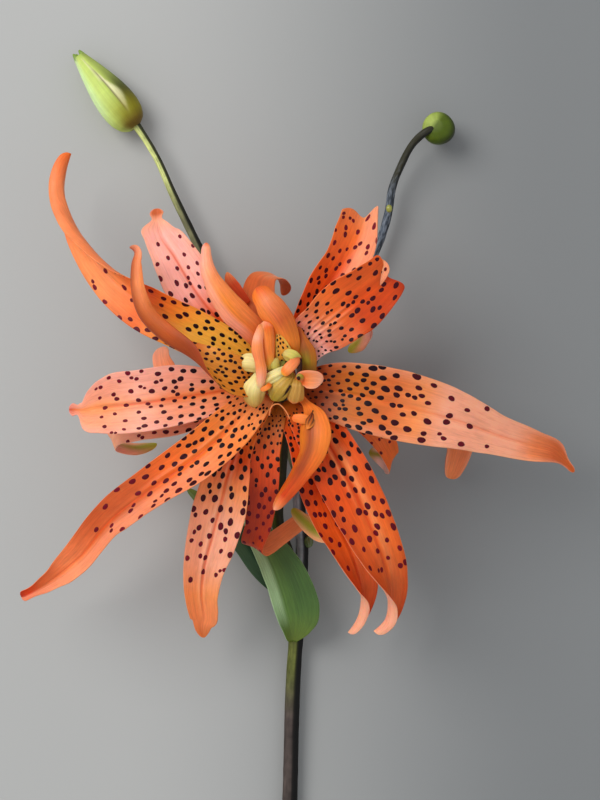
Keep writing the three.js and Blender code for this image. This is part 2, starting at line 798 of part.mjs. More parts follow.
// A bud along a straight line: profile rows give the share of its length and of its radius
function bud(base, tip, radius, profile, lobes, spare = 0) {
  const T = tip.clone().sub(base).normalize();
  const length = tip.distanceTo(base);
  const side = new THREE.Vector3(0, 0, 1);
  side.addScaledVector(T, -side.dot(T)).normalize();
  const other = new THREE.Vector3().crossVectors(T, side);
  const sides = 18;
  const rings = profile.map(([share, fat], j) => {
    let run = share * length;
    if (j === 0) run -= spare;
    if (j === profile.length - 1) run += spare;
    const ring = [];
    for (let i = 0; i < sides; i++) {
      const a = (2 * Math.PI * i) / sides;
      const r = radius * fat * (1 + lobes * Math.cos(3 * a + Math.PI)) + spare;
      const p = base.clone().addScaledVector(T, run).addScaledVector(side, Math.cos(a) * r);
      ring.push(p.addScaledVector(other, Math.sin(a) * r));
    }
    return ring;
  });
  return ringSolid(rings);
}

// Booleans
function solidOf(geometry) {
  const merged = mergeVertices(geometry, 1e-4);
  return new wasm.Manifold(new wasm.Mesh({
    numProp: 3,
    vertProperties: new Float32Array(merged.attributes.position.array),
    triVerts: new Uint32Array(merged.index.array),
  }));
}

function largest(solid) {
  const parts = solid.decompose();
  return parts.reduce((best, one) => (one.volume() > best.volume() ? one : best));
}

function meshOf(name, solid, colour, roughness) {
  const { vertProperties, triVerts } = solid.getMesh();
  const geometry = geometryOf(Array.from(vertProperties), Array.from(triVerts));
  geometry.computeVertexNormals();
  const material = new THREE.MeshStandardMaterial({ color: colour, roughness, metalness: 0 });
  const mesh = new THREE.Mesh(geometry, material);
  mesh.name = name;
  return mesh;
}

function joined(geometries) {
  return geometries.map(solidOf).reduce((whole, one) => whole.add(one));
}

// The swollen flower base that carries the petals, turned about a standing axis
function flowerBase(spare) {
  const [x, y] = place(-1, 0, 36);
  const profile = [
    [0, 27 - spare],
    [2.6 + spare, 27 - spare],
    [4.4 + spare, 29.5],
    [FLOWER_BASE_R + spare, 32],
    [FLOWER_BASE_R + spare, 40.5],
    [4.4 + spare, 42 + spare],
    [0, 42.6 + spare],
  ].map(([r, z]) => new THREE.Vector2(r, z));
  const geometry = new THREE.LatheGeometry(profile, 20);
  geometry.rotateX(Math.PI / 2);
  geometry.deleteAttribute("normal");
  geometry.deleteAttribute("uv");
  geometry.translate(x, y, 0);
  return geometry;
}

// The rounded foot that the heart's petaloids stand on
function heartFoot(spare) {
  const [x, y] = place(-1.2, 0.8, 45);
  const profile = [
    [0, 43 - spare],
    [5 + spare, 43 - spare],
    [7 + spare, 44.4],
    [6.4 + spare, 46.2],
    [3.4 + spare, 47.3 + spare],
    [0, 47.7 + spare],
  ].map(([r, z]) => new THREE.Vector2(r, z));
  const geometry = new THREE.LatheGeometry(profile, 18);
  geometry.rotateX(Math.PI / 2);
  geometry.deleteAttribute("normal");
  geometry.deleteAttribute("uv");
  geometry.translate(x, y, 0);
  return geometry;
}

function stemSolid(spare) {
  return joined([
    stalk(MAIN_STEM, 12, 16, spare),
    stalk(BLOOM_STALK, 12, 9, spare),
    stalk(LEFT_STALK, 10, 13, spare),
    stalk(RIGHT_STALK, 10, 16, spare),
    flowerBase(spare),
  ]);
}

// The table's level, taken off the underside of the stem so that it lies on a small flat
function tableBlock() {
  const box = new THREE.BoxGeometry(400, 600, 20);
  box.translate(0, 0, -10);
  box.deleteAttribute("normal");
  box.deleteAttribute("uv");
  return solidOf(box);
}

const at = (x, y, z) => new THREE.Vector3(...place(x, y, z));

const BUD_PROFILE = [
  [0, 0.34],
  [0.03, 0.6],
  [0.1, 0.85],
  [0.2, 0.98],
  [0.32, 1],
  [0.45, 0.93],
  [0.58, 0.8],
  [0.72, 0.63],
  [0.85, 0.45],
  [0.94, 0.32],
];
const SMALL_PROFILE = [
  [0, 0.38],
  [0.05, 0.7],
  [0.16, 0.94],
  [0.3, 1],
  [0.5, 0.94],
  [0.7, 0.74],
  [0.87, 0.45],
  [1, 0.16],
];

function largeBud(spare) {
  const base = at(-41.2, 70.7, 6.1);
  const tip = at(-57.9, 91.8, 5.6);
  const length = base.distanceTo(tip);
  const whole = [bud(base, tip, BUD_R, BUD_PROFILE, 0.06, spare)];
  const T = tip.clone().sub(base).normalize();
  const side = new THREE.Vector3(0, 0, 1);
  side.addScaledVector(T, -side.dot(T)).normalize();
  const other = new THREE.Vector3().crossVectors(T, side);
  for (let k = 0; k < 3; k++) {
    const a = (2 * Math.PI * k) / 3 + Math.PI / 3;
    const out = side.clone().multiplyScalar(Math.cos(a)).addScaledVector(other, Math.sin(a));
    const from = base.clone().addScaledVector(T, length * 0.84).addScaledVector(out, 1.1);
    const to = base.clone().addScaledVector(T, length).addScaledVector(out, 1.2);
    whole.push(bud(from, to, 1.1, [[0, 1], [0.6, 0.8], [1, 0.4]], 0, spare));
  }
  return joined(whole);
}

function smallBud(spare) {
  const base = at(43.4, 71.2, 12.8);
  const tip = base.clone().add(new THREE.Vector3(0.2, -0.05, -0.98).normalize().multiplyScalar(13.2));
  return solidOf(bud(base, tip, SMALL_BUD_R, SMALL_PROFILE, 0.04, spare));
}

function bulbil(x, y, z, r, spare) {
  const ball = new THREE.SphereGeometry(r + spare, 10, 8);
  ball.scale(1, 1.25, 1);
  ball.deleteAttribute("normal");
  ball.deleteAttribute("uv");
  ball.translate(...place(x, y, z));
  return solidOf(ball);
}

const colours = {
  orange: 0xe8743a,
  salmon: 0xf0906a,
  back: 0xdf8a5c,
  plain: 0xee8236,
  cream: 0xd8d08a,
  olive: 0xa9702c,
  leaf: 0x5f7f2c,
  leafDark: 0x245030,
  bud: 0x9fb04a,
  stem: 0x35302c,
  bulbil: 0x6f8a35,
};

function colourFor(name) {
  if (name.startsWith("outer")) return colours.back;
  if (name === "petaloid_olive") return colours.olive;
  if (name.startsWith("petaloid")) return colours.plain;
  if (name === "tepal_left" || name === "tepal_upper_left") return colours.salmon;
  return colours.orange;
}

// Every piece in the order it keeps its full shape. A later piece is cut clear of the earlier ones.
const sheet = (petal, thickness, stations = STATIONS, halfCells = HALF_CELLS) => (spare) =>
  solidOf(sheetSolid(petalSurface(petal, spare, stations, halfCells), thickness + 2 * spare));
const ORDER = [
  "petaloid_front", "petaloid_centre", "petaloid_olive", "petaloid_spoon", "petaloid_top", "petaloid_left",
  "tepal_upper_right_front", "tepal_upper_left_long", "tepal_lower_left_long", "tepal_right_long",
  "tepal_lower_right", "tepal_left", "tepal_upper_right", "tepal_low", "tepal_upper_left",
  "tepal_lower_right_back", "tepal_lower_centre", "outer_top", "outer_right", "outer_right_hook",
  "outer_right_low", "outer_low", "outer_left_low", "outer_left",
];
const pieces = [
  { name: "stem", make: stemSolid, colour: colours.stem, rough: 0.45 },
  { name: "bud_large", make: largeBud, colour: colours.bud, rough: 0.45 },
  { name: "bud_small", make: smallBud, colour: colours.bud, rough: 0.5 },
  { name: "heart", make: (spare) => {
    const solids = HEART.map((h) => sheet(h, 1.6, HEART_STATIONS, HEART_HALF_CELLS)(spare));
    return solids.reduce((whole, one) => whole.add(one), solidOf(heartFoot(spare)));
  }, colour: colours.cream, rough: 0.45 },
];
for (const name of ORDER) {
  pieces.push({ name, make: sheet(PETALS[name], PETAL_THICKNESS), colour: colourFor(name), rough: 0.45 });
}
for (const [name, leaf] of Object.entries(LEAVES)) {
  const colour = name === "leaf_front" ? colours.leaf : colours.leafDark;
  pieces.push({ name, make: sheet(leaf, LEAF_THICKNESS), colour, rough: 0.5 });
}
pieces.push({ name: "bulbil_low", make: (s) => bulbil(7.4, -45.3, 6.4, 1.55, s), colour: colours.bulbil, rough: 0.3 });
pieces.push({ name: "bulbil_high", make: (s) => bulbil(30, 48, 7.9, 1.2, s), colour: colours.bulbil, rough: 0.3 });

const table = tableBlock();
const lily = new THREE.Group();
const guards = [];
for (const piece of pieces) {
  let solid = piece.make(0);
  const box = solid.boundingBox();
  for (const guard of guards) {
    const g = guard.box;
    const apart = [0, 1, 2].some((k) => box.min[k] > g.max[k] || box.max[k] < g.min[k]);
    if (!apart) solid = solid.subtract(guard.solid);
  }
  solid = largest(solid.subtract(table));
  const guard = piece.make(SEAT_GAP);
  guards.push({ solid: guard, box: guard.boundingBox() });
  lily.add(meshOf(piece.name, solid, piece.colour, piece.rough));
}

// The origin is the middle of the whole part's footprint, at the table
const extent = new THREE.Box3().setFromObject(lily);
lily.position.set(-(extent.min.x + extent.max.x) / 2, -(extent.min.y + extent.max.y) / 2, 0);

export default lily;
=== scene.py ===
# A cut stem of double tiger lily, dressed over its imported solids. Lengths are in millimetres
# until a mesh is made, and the meshes are in metres.
import math
import random

import bpy
import numpy as np
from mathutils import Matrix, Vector


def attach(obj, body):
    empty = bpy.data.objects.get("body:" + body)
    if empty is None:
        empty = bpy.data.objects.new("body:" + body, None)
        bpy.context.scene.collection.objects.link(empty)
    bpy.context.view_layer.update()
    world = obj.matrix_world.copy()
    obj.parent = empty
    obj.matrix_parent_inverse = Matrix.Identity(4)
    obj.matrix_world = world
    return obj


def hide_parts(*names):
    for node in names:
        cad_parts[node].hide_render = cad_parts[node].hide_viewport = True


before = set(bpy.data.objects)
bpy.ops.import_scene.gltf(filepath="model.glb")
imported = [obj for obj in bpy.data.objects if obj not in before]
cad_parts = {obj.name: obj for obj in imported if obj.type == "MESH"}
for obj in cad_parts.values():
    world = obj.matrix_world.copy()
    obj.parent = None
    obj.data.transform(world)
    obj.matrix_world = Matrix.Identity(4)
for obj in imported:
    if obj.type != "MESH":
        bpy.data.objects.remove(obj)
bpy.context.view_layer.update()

# The flower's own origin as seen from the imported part's origin
SHIFT_X = -4.459
SHIFT_Y = 39.735

# Places on the flower are read on the level of its face, FACE_Z, from an eye EYE_Z above the table.
# What lies lower stands further out on the same line of sight.
FACE_Z = 45.0
EYE_Z = 545.0
EYE_X = 5.0
EYE_Y = -5.6

PETAL_THICKNESS = 0.55
MARGIN_THICKNESS = 0.22
LEAF_THICKNESS = 0.6
HEART_THICKNESS = 1.0
HEART_MARGIN = 0.5

# Material slots of a blade, and the first seeds of what is drawn at random
OVER, UNDER, SPOTTED = 0, 1, 2
BLADE_SEED = 100
LOBE_SEED = 150
HEART_SEED = 200
SPOT_SEED = 300
LOBE_SPOT_SEED = 350
HEART_SPOT_SEED = 400


def place(x, y, z):
    k = (EYE_Z - z) / (EYE_Z - FACE_Z)
    return np.array([EYE_X + (x - EYE_X) * k, EYE_Y + (y - EYE_Y) * k, z])


def srgb(r, g, b):
    out = []
    for v in (r, g, b):
        c = v / 255
        out.append(c / 12.92 if c <= 0.04045 else ((c + 0.055) / 1.055) ** 2.4)
    return np.array(out)


def smooth(a, b, x):
    t = np.clip((np.asarray(x, float) - a) / (b - a), 0, 1)
    return t * t * (3 - 2 * t)


# Blades. A row is x, y, z of the midrib, the width across the curve, then in degrees the roll
# about the midrib (a plus raises the left side), the turn of the cross-section from margin to
# margin (a plus is hollow above) and how much more of that turn the right side has, and last
# how far the right side is wider than the left. An ear lets the end of one side reach further:
# how far in mm, at which share of the side, and how steeply it falls off beyond. A ridge stands at
# a share of the width, with its height and width in mm and the stretch of the blade that it runs on.
# Keel is the fold at the midrib in degrees, wave is how far the margins swing in degrees and waves how
# often. Blunt gives an end a shorter rounding. Least and thick are the least width and the thickness in
# mm, and pleats are their number and depth.
GROOVE = [(0, -0.28, 0.5, 0.04, 0.96)]
BLADES = {
    "outer_top": dict(keel=10, paint="curl_top", rows=[
        [-1, 4, 31, 6, 0, 20], [-3.5, 14, 35, 9, 0, 25], [-6.5, 22.5, 34, 10, 0, 20],
        [-5, 28.5, 29.5, 8, 0, 20], [-1.5, 28.7, 25, 6, 0, 20], [0.8, 26.3, 21, 4.5, 0, 20],
        [0, 23.8, 19, 3.5, 0, 10],
    ]),
    "outer_right": dict(keel=10, paint="green_tip", spots=dict(start=0.1, stop=0.6), rows=[
        [3, 4.5, 31, 5, 0, 20], [10, 10.6, 33.5, 6.4, 0, 25], [18.4, 16, 31.5, 8, 0, 30],
        [23.4, 17.2, 26, 8, 0, 30], [23.3, 14, 19, 7, 0, 30], [21.2, 10.4, 14.5, 6, 0, 30],
        [18.5, 8, 12.6, 3.8, 0, 20],
    ]),
    "outer_right_hook": dict(keel=15, blunt=True, paint="hook", rows=[
        [5, -1.5, 30, 6, 0, 20], [20, -6.5, 32, 9, 0, 25], [35, -10.5, 27, 10, 0, 30],
        [45.5, -13.5, 20, 9.5, 15, 30], [49.6, -17.5, 13, 8.5, 40, 40], [48.7, -22.5, 8.5, 7.2, 48, 50],
        [47, -27.6, 6, 4.4, 48, 60],
    ]),
    "outer_right_low": dict(
        keel=10, blunt=True, paint="green_tip_deep",
        spots=dict(start=0.1, stop=0.66, big=1.5, ends=1.3, gap=1.8),
        rows=[
            [4, -2.5, 30, 6, 0, 20], [14, -5.5, 33, 8, 0, 25], [22.5, -10.2, 33, 8.6, 0, 25],
            [27.3, -15.2, 30.5, 7.6, 0, 25], [29.9, -20, 26, 6.2, -10, 20],
            [30.6, -22.6, 20.5, 6.6, -40, 20, 0, 0.2], [28.3, -21, 16.5, 8.2, -65, 20, 0, 0.28],
            [24.3, -20.4, 15, 2.8, -75, 20],
        ],
    ),
    "outer_low": dict(keel=10, paint="green_half", rows=[
        [1, -6, 29, 6, 0, 20], [7, -17, 32, 10, 0, 25], [12, -29, 32, 10, 0, 25],
        [15.2, -37.5, 29.5, 8.6, -10, 20], [15, -42.6, 26, 6.6, -60, 20], [10.8, -43, 24.2, 5, -105, 25],
        [6, -39.4, 23.2, 4.2, -114, 25], [2.8, -36, 22.6, 2.6, -114, 20],
    ]),
    "outer_left_low": dict(keel=10, paint="green_tip", spots=dict(start=0.1, stop=0.62), rows=[
        [-7, -2.5, 30, 6, 0, 20], [-17, -6.4, 33, 9, 5, 25], [-29, -10.2, 33.5, 11, 12, 25],
        [-39, -12, 30, 10.5, 12, 20], [-46.4, -14.4, 24, 8.6, 6, 20], [-47.2, -17.2, 17.5, 7.4, 0, 20],
        [-41.5, -19, 14, 6, 0, 20], [-35, -17.9, 13, 3.4, 0, 20],
    ]),
    "outer_left": dict(keel=10, blunt=True, paint="curl", rows=[
        [-6, 1, 30, 6, 0, 20], [-15, -0.8, 31.5, 8, 0, 25], [-23.5, -1.8, 31, 8, 0, 25],
        [-29.8, -0.4, 29, 7.4, 0, 25], [-32.8, 3.6, 26.6, 6.6, 0, 20], [-33.8, 9.2, 24, 5.6, 0, 20],
    ]),
    "tepal_upper_left_long": dict(
        keel=15, blunt=True, paint="ochre_base", ridges=GROOVE,
        spots=dict(start=0.04, stop=0.58, big=2.2, ends=1.9, gap=2.8, bare=-1),
        rows=[
            [-6, 2.5, 37, 7.5, 0, 25], [-16, 9, 40.5, 12, 0, 30], [-27, 14.5, 42, 13.5, -5, 30],
            [-39.5, 21.5, 40.5, 14.5, -12, 50, 40], [-49.3, 30.2, 36.5, 14, -22, 110, 95, 0.06],
            [-55.7, 39, 32, 12.4, -44, 150, 75, 0.1], [-59.9, 47, 29, 10, -80, 170, 40],
            [-61.7, 54.3, 27, 8, -106, 172, 10], [-60.5, 60.2, 26, 6.6, -100, 165],
            [-59.1, 63.4, 25.3, 4.6, -88, 145],
        ],
    ),
    "tepal_upper_left": dict(
        keel=25, blunt=True, paint="salmon", ridges=GROOVE,
        spots=dict(start=0.06, stop=0.84, big=1.85, ends=1.5, gap=4),
        rows=[
            [-5, 4, 34, 7, 0, 20], [-13.5, 12.5, 37, 11, 0, 30], [-21, 20.5, 39, 15, 0, 30],
            [-26, 27.5, 39, 15.5, 0, 25], [-30.2, 34.5, 37, 13.2, 0, 25],
            [-33.9, 40.2, 34.7, 10.2, 0, 20, 0, 0.03], [-34.6, 42.8, 33.8, 8.4, 0, 20, 0, -0.16],
            [-34.9, 44.9, 32.9, 3.2, 0, 20], [-35, 46.4, 32, 4.2, 0, 20], [-35, 48, 31.5, 3.6, 0, 20],
        ],
    ),
    "tepal_upper_right": dict(
        keel=40, left_ear=(0.7, 0.5, 3), right_ear=(4.8, 0.8, 0.8), paint="deep_fold",
        spots=dict(start=0.05, stop=0.98, big=1.8, ends=1.7, gap=2.2),
        rows=[
            [3, 5, 35, 7.5, 0, 20], [7.8, 15, 38, 11.5, 0, 30], [12.6, 25, 39, 14, 0, 40],
            [17.5, 34, 37, 14.6, 0, 40, 0, 0.14], [20.8, 40.5, 34.5, 13.8, 0, 35, 0, -0.06],
            [22.7, 45.4, 32, 10.9, 0, 25, 0, -0.3],
        ],
    ),
    "tepal_right_long": dict(
        keel=10, paint="base_in_painted_shade", ridges=GROOVE,
        spots=dict(start=0.03, stop=0.66, small=0.9, big=2.5, ends=2, gap=7, red=0.8),
        rows=[
            [5, -2.5, 37, 9, 0, 30], [14, -3.2, 41, 16.5, 0, 35], [25, -5.3, 43.5, 20, 0, 40],
            [36, -7.8, 43.5, 20, 0, 40], [48, -11, 41, 17, 0, 35], [60, -15.3, 36, 12, 0, 40],
            [70, -18.3, 31.5, 9.5, 0, 50], [76.5, -20.3, 28.5, 6.5, 0, 60], [79.3, -23, 27, 2.6, 0, 50],
            [81.8, -25.8, 26.5, 1.8, 0, 30],
        ],
    ),
    "tepal_lower_right": dict(
        keel=20, blunt=True, paint="deep", spots=dict(start=0.04, stop=0.74, big=2.4, ends=2, gap=3),
        ridges=[(-0.3, 0.4, 1.5, 0.08, 0.85), (0.05, 0.35, 0.7, 0.05, 0.55),
                (-0.08, -0.35, 0.5, 0.08, 0.9)],
        rows=[
            [3, -5, 36, 8, 0, 25], [10, -14, 40, 14, 0, 30], [16.3, -25, 43, 16.5, 0, 35],
            [22, -36.5, 42.5, 16.5, -5, 45], [26.5, -47, 39.5, 15, -15, 75],
            [29, -55, 35.5, 13.5, -38, 115], [30, -62, 31.5, 11.5, -60, 150],
            [28.9, -67.3, 29.5, 8, -72, 180], [25.7, -70.3, 28.5, 5, -80, 170],
        ],
    ),
    "tepal_lower_right_back": dict(
        keel=20, blunt=True, paint="deep", ridges=GROOVE,
        spots=dict(start=0.04, stop=0.68, big=2.2, ends=1.9, gap=3.2),
        rows=[
            [1, -6, 34, 7.5, 0, 25], [6.3, -16, 37, 10.5, 0, 30], [10, -27, 39.5, 13, 0, 35],
            [14, -37.5, 38.5, 13, -5, 45], [19, -47.5, 35.5, 12.5, -15, 75],
            [21.6, -55.5, 32, 11.5, -38, 115], [22.6, -61, 29, 9.5, -60, 150],
            [21.4, -66.5, 26.5, 6.5, -72, 180], [18.5, -70.7, 25.5, 4.4, -80, 170],
        ],
    ),
    "tepal_low": dict(
        keel=20, paint="light_end",
        spots=dict(start=0.06, stop=0.76, big=2.4, small=0.8, ends=1.8, gap=3.4),
        ridges=[(-0.12, 0.3, 0.6, 0.15, 0.92), (0.14, 0.3, 0.6, 0.15, 0.92), (0.01, -0.3, 0.45, 0.1, 0.97)],
        rows=[
            [-5, -6.5, 36, 6, 0, 20], [-8, -11.5, 37.5, 6.4, 0, 25], [-12.4, -19, 38.5, 9, 0, 30],
            [-15.2, -26.5, 38.5, 13.6, 0, 30], [-16.9, -34, 37.3, 15.8, 0, 30],
            [-19.6, -44.5, 34, 15, 0, 30], [-21.9, -53.4, 30.3, 12, 0, 30], [-22.4, -60, 27, 10.2, 0, 30],
            [-21.8, -65.2, 24.3, 9, 0, 30], [-21.7, -67, 23.3, 8, 0, 30], [-22.1, -68.6, 22.5, 5.6, 0, 30],
            [-22.1, -70.6, 21.6, 4.2, 0, 30], [-21.9, -72.1, 21, 2.8, 0, 20],
        ],
    ),
    "tepal_lower_centre": dict(
        keel=10, paint="deepest", spots=dict(start=0.05, stop=0.7, big=1.9, small=0.7, gap=1.6),
        rows=[
            [-2, -6, 34, 8, 0, 25], [-4, -13, 36.5, 9.6, 0, 25], [-5.4, -20, 37, 10.2, 0, 25],
            [-5.9, -30, 36.5, 10.4, 0, 25], [-6.6, -40.5, 33, 7.6, 6, 20], [-8, -46.2, 28.5, 7, 26, 20],
            [-6, -47.2, 24, 6.2, 44, 20], [-1, -44, 20.5, 5.6, 66, 20], [4.6, -40, 18.2, 5, 70, 20],
            [7.6, -38, 17.4, 4.4, 70, 20],
        ],
    ),
    "tepal_lower_left_long": dict(
        keel=30, blunt=True, paint="orange_base",
        spots=dict(start=0.03, stop=0.66, big=2.3, small=0.9, ends=2.1, gap=5),
        ridges=[(0.2, 0.4, 0.6, 0.05, 0.5), (-0.15, 0.35, 0.6, 0.05, 0.4), (0.01, -0.25, 0.45, 0.1, 0.95)],
        rows=[
            [-5, -3.5, 38, 8, 0, 25], [-13.5, -12.5, 41, 13.2, 5, 35, 0, -0.05],
            [-23.5, -21.5, 43, 15.6, 15, 45, 0, -0.1], [-36, -30.3, 42, 14, 20, 50, 0, -0.07],
            [-47.5, -39, 38.5, 12, 15, 50], [-57, -50, 33.5, 10.5, 10, 50], [-66, -57, 29, 5.8, 0, 70],
            [-70, -59.3, 27.5, 3.8, 0, 70], [-73, -60.7, 26.5, 4, 0, 50],
        ],
    ),
    "tepal_left": dict(
        keel=20, blunt=True, paint="salmon_end",
        spots=dict(start=0.05, stop=0.84, big=1.8, ends=1.6, gap=2.4),
        ridges=[(0, -0.35, 0.5, 0.04, 0.9), (-0.1, 0.2, 0.6, 0.1, 0.85), (0.1, 0.2, 0.6, 0.1, 0.85)],
        rows=[
            [-6.5, -1.5, 36, 8, 0, 20], [-16, -3, 38.5, 12, 0, 25], [-27, -4.7, 40.5, 17, 0, 20, 0, 0.1],
            [-39, -6.5, 40.5, 18, 0, 20, 0, 0.08], [-48, -7.5, 38, 17, 0, 20, 0, 0.06],
            [-52.2, -8, 36.8, 13.6, 0, 20, 0, -0.05], [-54.6, -8.3, 36.1, 10.4, 0, 20, 0, -0.25],
            [-55.9, -8.4, 35.7, 7, 0, 20, 0, -0.4], [-56.9, -8.4, 35.4, 3.2, 0, 20],
            [-58.4, -8.3, 34.9, 3.8, 0, 20], [-59.6, -8.3, 34.5, 3.2, 0, 30],
        ],
    ),
    "tepal_upper_right_front": dict(
        keel=10, wave=14, waves=2.5, left_ear=(2, 0.85, 0.3), right_ear=(2, 0.85, 0.3), paint="pleated",
        spots=dict(start=0.04, stop=0.97, big=2, small=0.55, ends=1.9, gap=1.7, red=0.3, grow=0.6),
        ridges=[(-0.3, 0.4, 0.3, 0, 0.55), (-0.08, 0.45, 0.32, 0, 0.68), (0.1, 0.45, 0.32, 0, 0.7),
                (0.3, 0.35, 0.3, 0, 0.55), (-0.55, 0.3, 0.3, 0, 0.45), (0.5, 0.3, 0.3, 0, 0.45)],
        rows=[
            [4.5, 5, 39, 8, 0, 30], [8.6, 12.6, 43.5, 13.8, 0, 40], [12.5, 15.7, 45.3, 16.3, 0, 42],
            [16.5, 18.8, 46.6, 17.6, 0, 42], [20.4, 21.8, 47, 18.2, 0, 40],
            [24.4, 24.9, 46.5, 16.4, 0, 35], [27.6, 27.5, 45.2, 14, 0, 25], [29.3, 29.3, 44, 12.5, 0, 20],
        ],
    ),
    "petaloid_left": dict(
        keel=20, blunt=True, paint="petaloid_left",
        spots=dict(start=0.02, stop=0.42, big=1.5, small=0.9, ends=1.4, gap=1.1, space=0.6, red=0.2),
        rows=[
            [-5, -0.5, 42, 8, 5, 40], [-13, 0.8, 46, 12, 10, 50], [-20, 3.2, 48.2, 13, 35, 90],
            [-26.5, 7, 49.5, 12, 78, 135], [-34.5, 12.2, 49.9, 11, 104, 150],
            [-40, 18.5, 49.5, 10, 110, 150], [-42, 26, 49.1, 8.4, 108, 145],
            [-41.9, 32.5, 48.5, 7, 98, 130], [-41.3, 36, 47.5, 5.6, 80, 110], [-42.6, 37, 47, 3.6, 60, 80],
        ],
    ),
    "petaloid_top": dict(paint="petaloid", rows=[
        [-3.5, 7.5, 44, 6, 0, -60], [-8, 13.8, 47, 7.5, 0, -80], [-13.6, 19.2, 49, 8.2, 0, -90],
        [-18.2, 25.4, 49, 6.8, 0, -90], [-21.1, 31.5, 47, 4.8, 0, -100], [-21.4, 36.4, 44.6, 2.8, 0, -90],
        [-21.3, 38.4, 43.6, 2.6, 0, -60],
    ]),
    "petaloid_centre": dict(blunt=True, paint="petaloid_centre", rows=[
        [2.5, 4, 44, 5.4, 0, -60], [1.9, 10, 47.5, 6.5, 0, -80], [-0.5, 16, 50, 8.5, 0, -80],
        [-4.3, 21.3, 50, 8, 0, -80], [-7.2, 25.8, 48, 5.5, 0, -60],
    ]),
    "petaloid_olive": dict(paint="olive", keel=-20, rows=[
        [7.2, 1.5, 43.5, 4.6, 0, -20], [7.3, 4.5, 45.2, 4.9, 0, -20], [7.1, 7.4, 46, 4.9, 0, -20],
        [5.9, 11, 46.2, 2.9, 0, -20], [4.5, 15, 46, 1.2, 0, -20],
    ]),
    "petaloid_front": dict(paint="petaloid_front", rows=[
        [3.2, -2.9, 43, 3, 0, -20], [6.7, -6.6, 43.6, 2.4, 0, -40], [8.2, -9.6, 47.2, 7, 0, -70],
        [8.6, -14.3, 49.7, 10.4, 0, -90], [8, -19.5, 50, 9.2, 0, -90], [5.3, -25.1, 48.6, 6.6, 0, -95],
        [2.2, -29.9, 46.4, 5.2, 0, -95], [-0.6, -33.6, 44, 4.4, 0, -95], [-2.3, -36.3, 42.2, 3.2, 0, -80],
    ]),
    "petaloid_spoon": dict(blunt=True, paint="spoon", rows=[
        [4.3, -0.7, 46.8, 1.6, 0, 20], [6, 0.3, 48.5, 4.8, 0, 60], [8.4, 0.3, 49, 5.6, 0, 60],
        [10.5, 0.1, 48.8, 4.4, 0, 50], [11.5, -0.1, 48.5, 3, 0, 40],
    ]),
    "leaf_front": dict(keel=30, paint="leaf", rows=[
        [2.9, -73, 6.5, 2.6, 0, 60], [2.8, -71.2, 8, 6.6, 0, 60, -30, 0.25],
        [2.6, -69.3, 9.5, 9.8, 0, 60, -40, 0.35], [2.2, -67, 11, 13.2, 0, 60, -40, 0.4],
        [1.4, -64, 12, 15.4, 0, 60, -40, 0.4], [0.5, -60.5, 12.6, 15.4, 0, 60, -40, 0.38],
        [-1, -55.9, 13, 14.6, 0, 60, -40, 0.36], [-2.8, -51.3, 12.6, 12.8, 0, 60, -40, 0.3],
        [-6, -45, 12, 10, 0, 60, -30, 0.2], [-9.5, -36, 11, 3, 0, 40],
    ]),
    "leaf_back": dict(keel=20, paint="leaf_dark", rows=[
        [3.6, -63, 5, 3, 0, 20], [-0.6, -57.5, 6.5, 6.8, 0, 30], [-5.2, -52, 8, 8.8, 0, 30],
        [-9.5, -45.9, 9, 8.8, 0, 30], [-17, -38.4, 9, 6.6, 0, 30], [-26.5, -30.5, 9, 1.5, 0, 20],
    ]),
}

# Lobes that belong to a blade: the folded corner of one tepal, the rim and hollow on the front
# petaloid and the ragged tips at the top
LOBES = {
    "tepal_upper_right_front": [
        dict(
            paint="fold_lobe", blunt=True,
            spots=dict(start=0.25, stop=0.85, big=1.5, ends=1.3, space=0.9, red=0.8),
            rows=[
                [22.6, 25, 45.1, 4, 0, 20], [26, 29.6, 45.1, 6.6, 0, 20], [28.2, 33.7, 43.8, 5.6, 0, 20],
            ],
        ),
    ],
    "petaloid_front": [
        dict(paint="front_lobe", blunt=True, rows=[
            [8, -11.4, 47.8, 2.2, 0, -20], [5.8, -10.9, 47.8, 2.8, 0, -30],
            [2.8, -10.6, 46.8, 1.8, 0, -20],
        ]),
        dict(
            paint="hollow_rim", ridges=[(-0.3, -0.15, 0.25, 0.1, 0.9), (0.35, -0.15, 0.25, 0.1, 0.9)],
            rows=[
                [8.9, -8.6, 46.7, 0.5, 0, -20], [8.7, -10.2, 48.15, 2.4, 0, -30],
                [8, -12, 49.15, 3.2, 0, -30], [7, -13.8, 49.75, 1.2, 0, -30],
            ],
        ),
    ],
    "outer_top": [
        dict(paint="ragged", rows=[
            [-9.5, 21.5, 35.5, 2, 0, 20], [-12.6, 25.2, 35.5, 3.2, 0, 20], [-14.6, 28, 35, 3, 0, 20],
            [-15.4, 30.2, 34.5, 1.4, 0, 20],
        ]),
        dict(paint="ragged", rows=[
            [-9.5, 21.5, 35, 2, 0, 20], [-11.8, 24.6, 35, 2.4, 0, 20], [-12.7, 27.6, 34.5, 1.2, 0, 20],
        ]),
    ],
}

